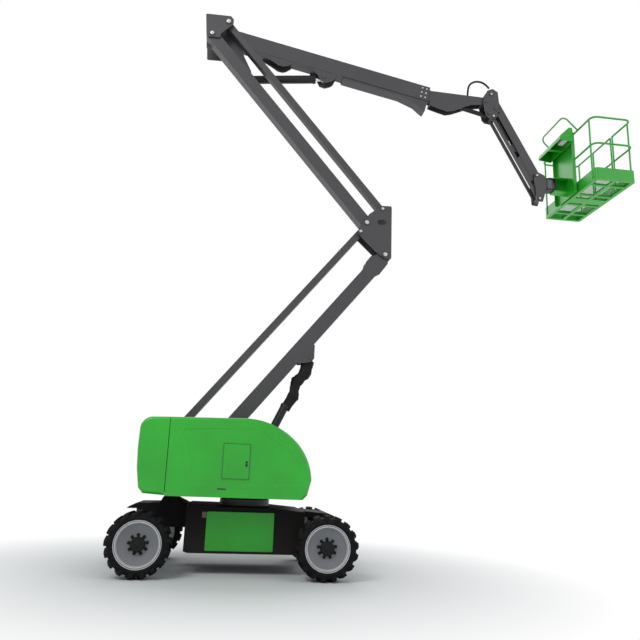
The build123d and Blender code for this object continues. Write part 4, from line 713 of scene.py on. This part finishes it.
# hard chrome on a ground rod: a bright mirror, dulled in places by a film of oil
chrome = bpy.data.materials.new("hard_chromed_rod")
chrome.use_nodes = True
tree = chrome.node_tree
shader = tree.nodes["Principled BSDF"]
shader.inputs["Metallic"].default_value = 1.0
film = add_node(tree, "ShaderNodeTexNoise", {"Scale": per_metre(41.7), "Detail": 5.0})
gloss = add_node(tree, "ShaderNodeMapRange", {"To Min": 0.08, "To Max": 0.26}, Value=film.outputs["Fac"])
bright = add_node(tree, "ShaderNodeMix", {"data_type": "RGBA", 6: tone("#c9cccf"), 7: tone("#e6e7e8")},
                  _0=film.outputs["Fac"])
tree.links.new(gloss.outputs[0], shader.inputs["Roughness"])
tree.links.new(bright.outputs[2], shader.inputs["Base Color"])
dress(chrome, "riser_cyl_rod", "boom_cyl_rod", "slave_cyl_rod", "jib_cyl_rod")
# cast steel under grey paint: half matt
cast_steel = sprayed_coat("grey_cast_rotator", "#5d5f62", "#8f8f8c", 0.5, 0.1)
dress(cast_steel, "rotator")

# soft black rubber: a dull skin, greyer where it has bloomed, and finely pitted
boot_rubber = bpy.data.materials.new("dusty_black_rubber")
boot_rubber.use_nodes = True
tree = boot_rubber.node_tree
shader = tree.nodes["Principled BSDF"]
shader.inputs["Specular IOR Level"].default_value = 0.16
wear = add_node(tree, "ShaderNodeTexNoise",
                {"Scale": per_metre(71.4), "Detail": 7.0, "Roughness": 0.68})
skin = add_node(tree, "ShaderNodeMix", {"data_type": "RGBA", 6: tone("#0a0a0b"), 7: tone("#252423")},
                _0=wear.outputs["Fac"])
matt_look = add_node(tree, "ShaderNodeMapRange", {"To Min": 0.45, "To Max": 0.8}, Value=wear.outputs["Fac"])
fine = add_node(tree, "ShaderNodeTexNoise", {"Scale": per_metre(3.846), "Detail": 3.0})
pits = add_node(tree, "ShaderNodeBump", {"Strength": 0.3, "Distance": 0.001}, Height=fine.outputs["Fac"])
tree.links.new(skin.outputs[2], shader.inputs["Base Color"])
tree.links.new(matt_look.outputs[0], shader.inputs["Roughness"])
tree.links.new(pits.outputs[0], shader.inputs["Normal"])

# the boot: a wide sleeve that hangs in a few large kinks, with small creases between them.
# along its run, how far its middle leans across the rod, and its radius
ROD_START = Vector((0.660, -0.155, 2.365))
ROD_END = Vector((1.030, -0.155, 3.150))
KINKS = [
    (0.0, 0.000, 0.074), (0.10, 0.004, 0.076), (0.20, 0.014, 0.080), (0.27, 0.022, 0.092),
    (0.33, 0.016, 0.084), (0.42, -0.014, 0.078), (0.50, -0.030, 0.084), (0.56, -0.034, 0.100),
    (0.62, -0.022, 0.088), (0.70, 0.010, 0.092), (0.78, 0.012, 0.100), (0.88, -0.010, 0.096),
    (1.0, -0.022, 0.094)]
CREASES = 26
CREASE_DEEP = 0.0028
PULLS = ((0.004, 3, 11), (0.003, 7, -17))     # depth, folds round the boot, twist along it
BOOT_STEPS = 120
BOOT_SIDES = 48
BOOT_FLAT = 0.74          # narrower across the arm, to go into its slot
run = ROD_END - ROD_START
across = Vector((0, 1, 0)).cross(run).normalized()
boot = bmesh.new()
rings = []
for k in range(BOOT_STEPS + 1):
    share = k / BOOT_STEPS
    n = max(i for i, kink in enumerate(KINKS[:-1]) if kink[0] <= share)
    (s0, lean0, r0), (s1, lean1, r1) = KINKS[n], KINKS[n + 1]
    part = (share - s0) / (s1 - s0)
    ease = part * part * (3 - 2 * part)
    middle = ROD_START + run * share + across * (lean0 + (lean1 - lean0) * ease)
    radius = r0 + (r1 - r0) * ease
    ring = []
    for j in range(BOOT_SIDES):
        turn = 2 * math.pi * j / BOOT_SIDES
        crease = CREASE_DEEP * math.sin(
            2 * math.pi * CREASES * share + 1.6 * math.sin(2 * turn) + 0.8 * math.sin(5 * turn))
        pull = sum(deep * math.sin(folds * turn + twist * share) for deep, folds, twist in PULLS)
        out = across * math.cos(turn) + Vector((0, 1, 0)) * math.sin(turn) * BOOT_FLAT
        ring.append(boot.verts.new(middle + out * (radius + crease + pull)))
    rings.append(ring)
for one, two in zip(rings, rings[1:]):
    for j in range(BOOT_SIDES):
        n = (j + 1) % BOOT_SIDES
        boot.faces.new((one[j], one[n], two[n], two[j]))
boot.faces.new(rings[0][::-1])
boot.faces.new(rings[-1])
boot_piece = piece("riser_rod_boot", boot, boot_rubber, None, smooth=180)
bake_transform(boot_piece)

# ---------------------------------------------------------------- hoses
# Two-wire hydraulic hose in black rubber: one stands up from the boom's mouth and drops into the
# jib in a single loop.
HOSE_RUN = [
    (3.8522, 8.3998), (3.8582, 8.5598), (3.8952, 8.6798), (4.0002, 8.7548), (4.1302, 8.7598),
    (4.2352, 8.6998), (4.2802, 8.6398)]
HOSE_Y = 0.155
HOSE_R = 0.018
loop = bpy.data.curves.new("hose_loop_rubber", "CURVE")
loop.dimensions = "3D"
loop.bevel_depth = HOSE_R
loop.bevel_resolution = 6
loop.resolution_u = 10
loop.use_fill_caps = True
line = loop.splines.new("NURBS")
line.points.add(len(HOSE_RUN) - 1)
for point, (x, z) in zip(line.points, HOSE_RUN):
    point.co = (x, HOSE_Y, z, 1)
line.order_u = 3
line.use_endpoint_u = True
hose = bpy.data.objects.new("hose_loop_rubber", loop)
bpy.context.scene.collection.objects.link(hose)
loop.materials.append(boot_rubber)
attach(hose, "boom_inner")
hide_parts("hose_loop")

# ---------------------------------------------------------------- basket
# The cage is welded steel tube, sprayed green, on a folded floor frame. Its floor is expanded
# steel mesh, and the console is folded sheet.
# enamel on tube: a soft-gloss green, chipped to a brownish primer where tools knock it
basket_paint = sprayed_coat("green_basket_paint", "#109c12", "#a08c78", 0.38, 0.2, chips=0.5,
                            edge=0.003)
dress(basket_paint, "basket_floor", "basket_frame", "basket_gate", "platform_console", "rotator_bracket")

# the floor: diamond mesh of flat strands, in the grating's own space
low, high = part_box("floor_grating")
mesh_floor = bmesh.new()
PITCH = 0.045
STRAND = 0.005
BORDER = 0.008            # width of the strip round the mesh
SHORTEST = 0.01           # a strand shorter than this is left out
wide, long_side = high[0] - low[0], high[1] - low[1]
top_z = high[2] - BORDER / 2


def strand(start, end):
    """Adds one flat strand of the mesh between two places on the floor."""
    middle = (Vector(start) + Vector(end)) / 2
    way = Vector(end) - Vector(start)
    turn = Matrix.Translation(middle) @ Matrix.Rotation(math.atan2(way.y, way.x), 4, "Z")
    slab(mesh_floor, turn, [(-way.length / 2, -STRAND / 2), (way.length / 2, -STRAND / 2),
                            (way.length / 2, STRAND / 2), (-way.length / 2, STRAND / 2)], STRAND)


count = int((wide + long_side) / PITCH)
for k in range(1, count):
    shift = k * PITCH
    for flip in (False, True):
        # a line at 45 degrees, clipped to the rectangle
        x0 = max(0, shift - long_side)
        x1 = min(wide, shift)
        ends = [(x, shift - x) for x in (x0, x1)]
        if flip:
            ends = [(wide - x, y) for x, y in ends]
        (ax, ay), (bx, by) = ends
        if math.hypot(bx - ax, by - ay) > SHORTEST:
            strand((low[0] + ax, low[1] + ay, top_z), (low[0] + bx, low[1] + by, top_z))
half = BORDER / 2
for x, y, w, d in (((low[0] + high[0]) / 2, low[1] + half, wide, BORDER),
                   ((low[0] + high[0]) / 2, high[1] - half, wide, BORDER),
                   (low[0] + half, (low[1] + high[1]) / 2, BORDER, long_side),
                   (high[0] - half, (low[1] + high[1]) / 2, BORDER, long_side)):
    slab(mesh_floor, Matrix.Translation((x, y, top_z - half)), rounded_box(w, d, 0.001, 2), 0.014)
# the basket's green, scuffed to bare steel by boots
mesh_paint = sprayed_coat("green_mesh_paint", "#128a14", "#b7b9b0", 0.5, 0.1, chips=0.6, edge=0.001)
steel_mesh = piece("floor_mesh", mesh_floor, mesh_paint, "basket")
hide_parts("floor_grating")

# under the console a blank white sheet-metal box, and by its upper outer edge a blue knob
low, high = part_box("platform_console")
# coated sheet: an even off-white
white_sheet = sprayed_coat("white_coated_sheet", "#d9dbda", "#a9a9a4", 0.5, 0.1)
# moulded plastic: a saturated blue with a soft gloss
blue_plastic = sprayed_coat("blue_moulded_knob", "#1b4bb8", "#6f86c0", 0.35, 0.3)
store = bmesh.new()
slab(store, Matrix.Translation((low[0] + 0.165, low[1] + 0.20, low[2] + 0.105)),
     rounded_box(0.10, 0.21, 0.012), 0.055)
piece("document_box", store, white_sheet, "basket", bevel=0.002)
knob = bmesh.new()
turned(knob, facing((high[0] + 0.012, low[1] + 0.235, high[2] - 0.03), (0, 0, 1)), [
    (0.0, 0.020), (0.018, 0.020), (0.024, 0.016), (0.024, 0)], 28)
piece("console_knob", knob, blue_plastic, "basket", bevel=0.001)
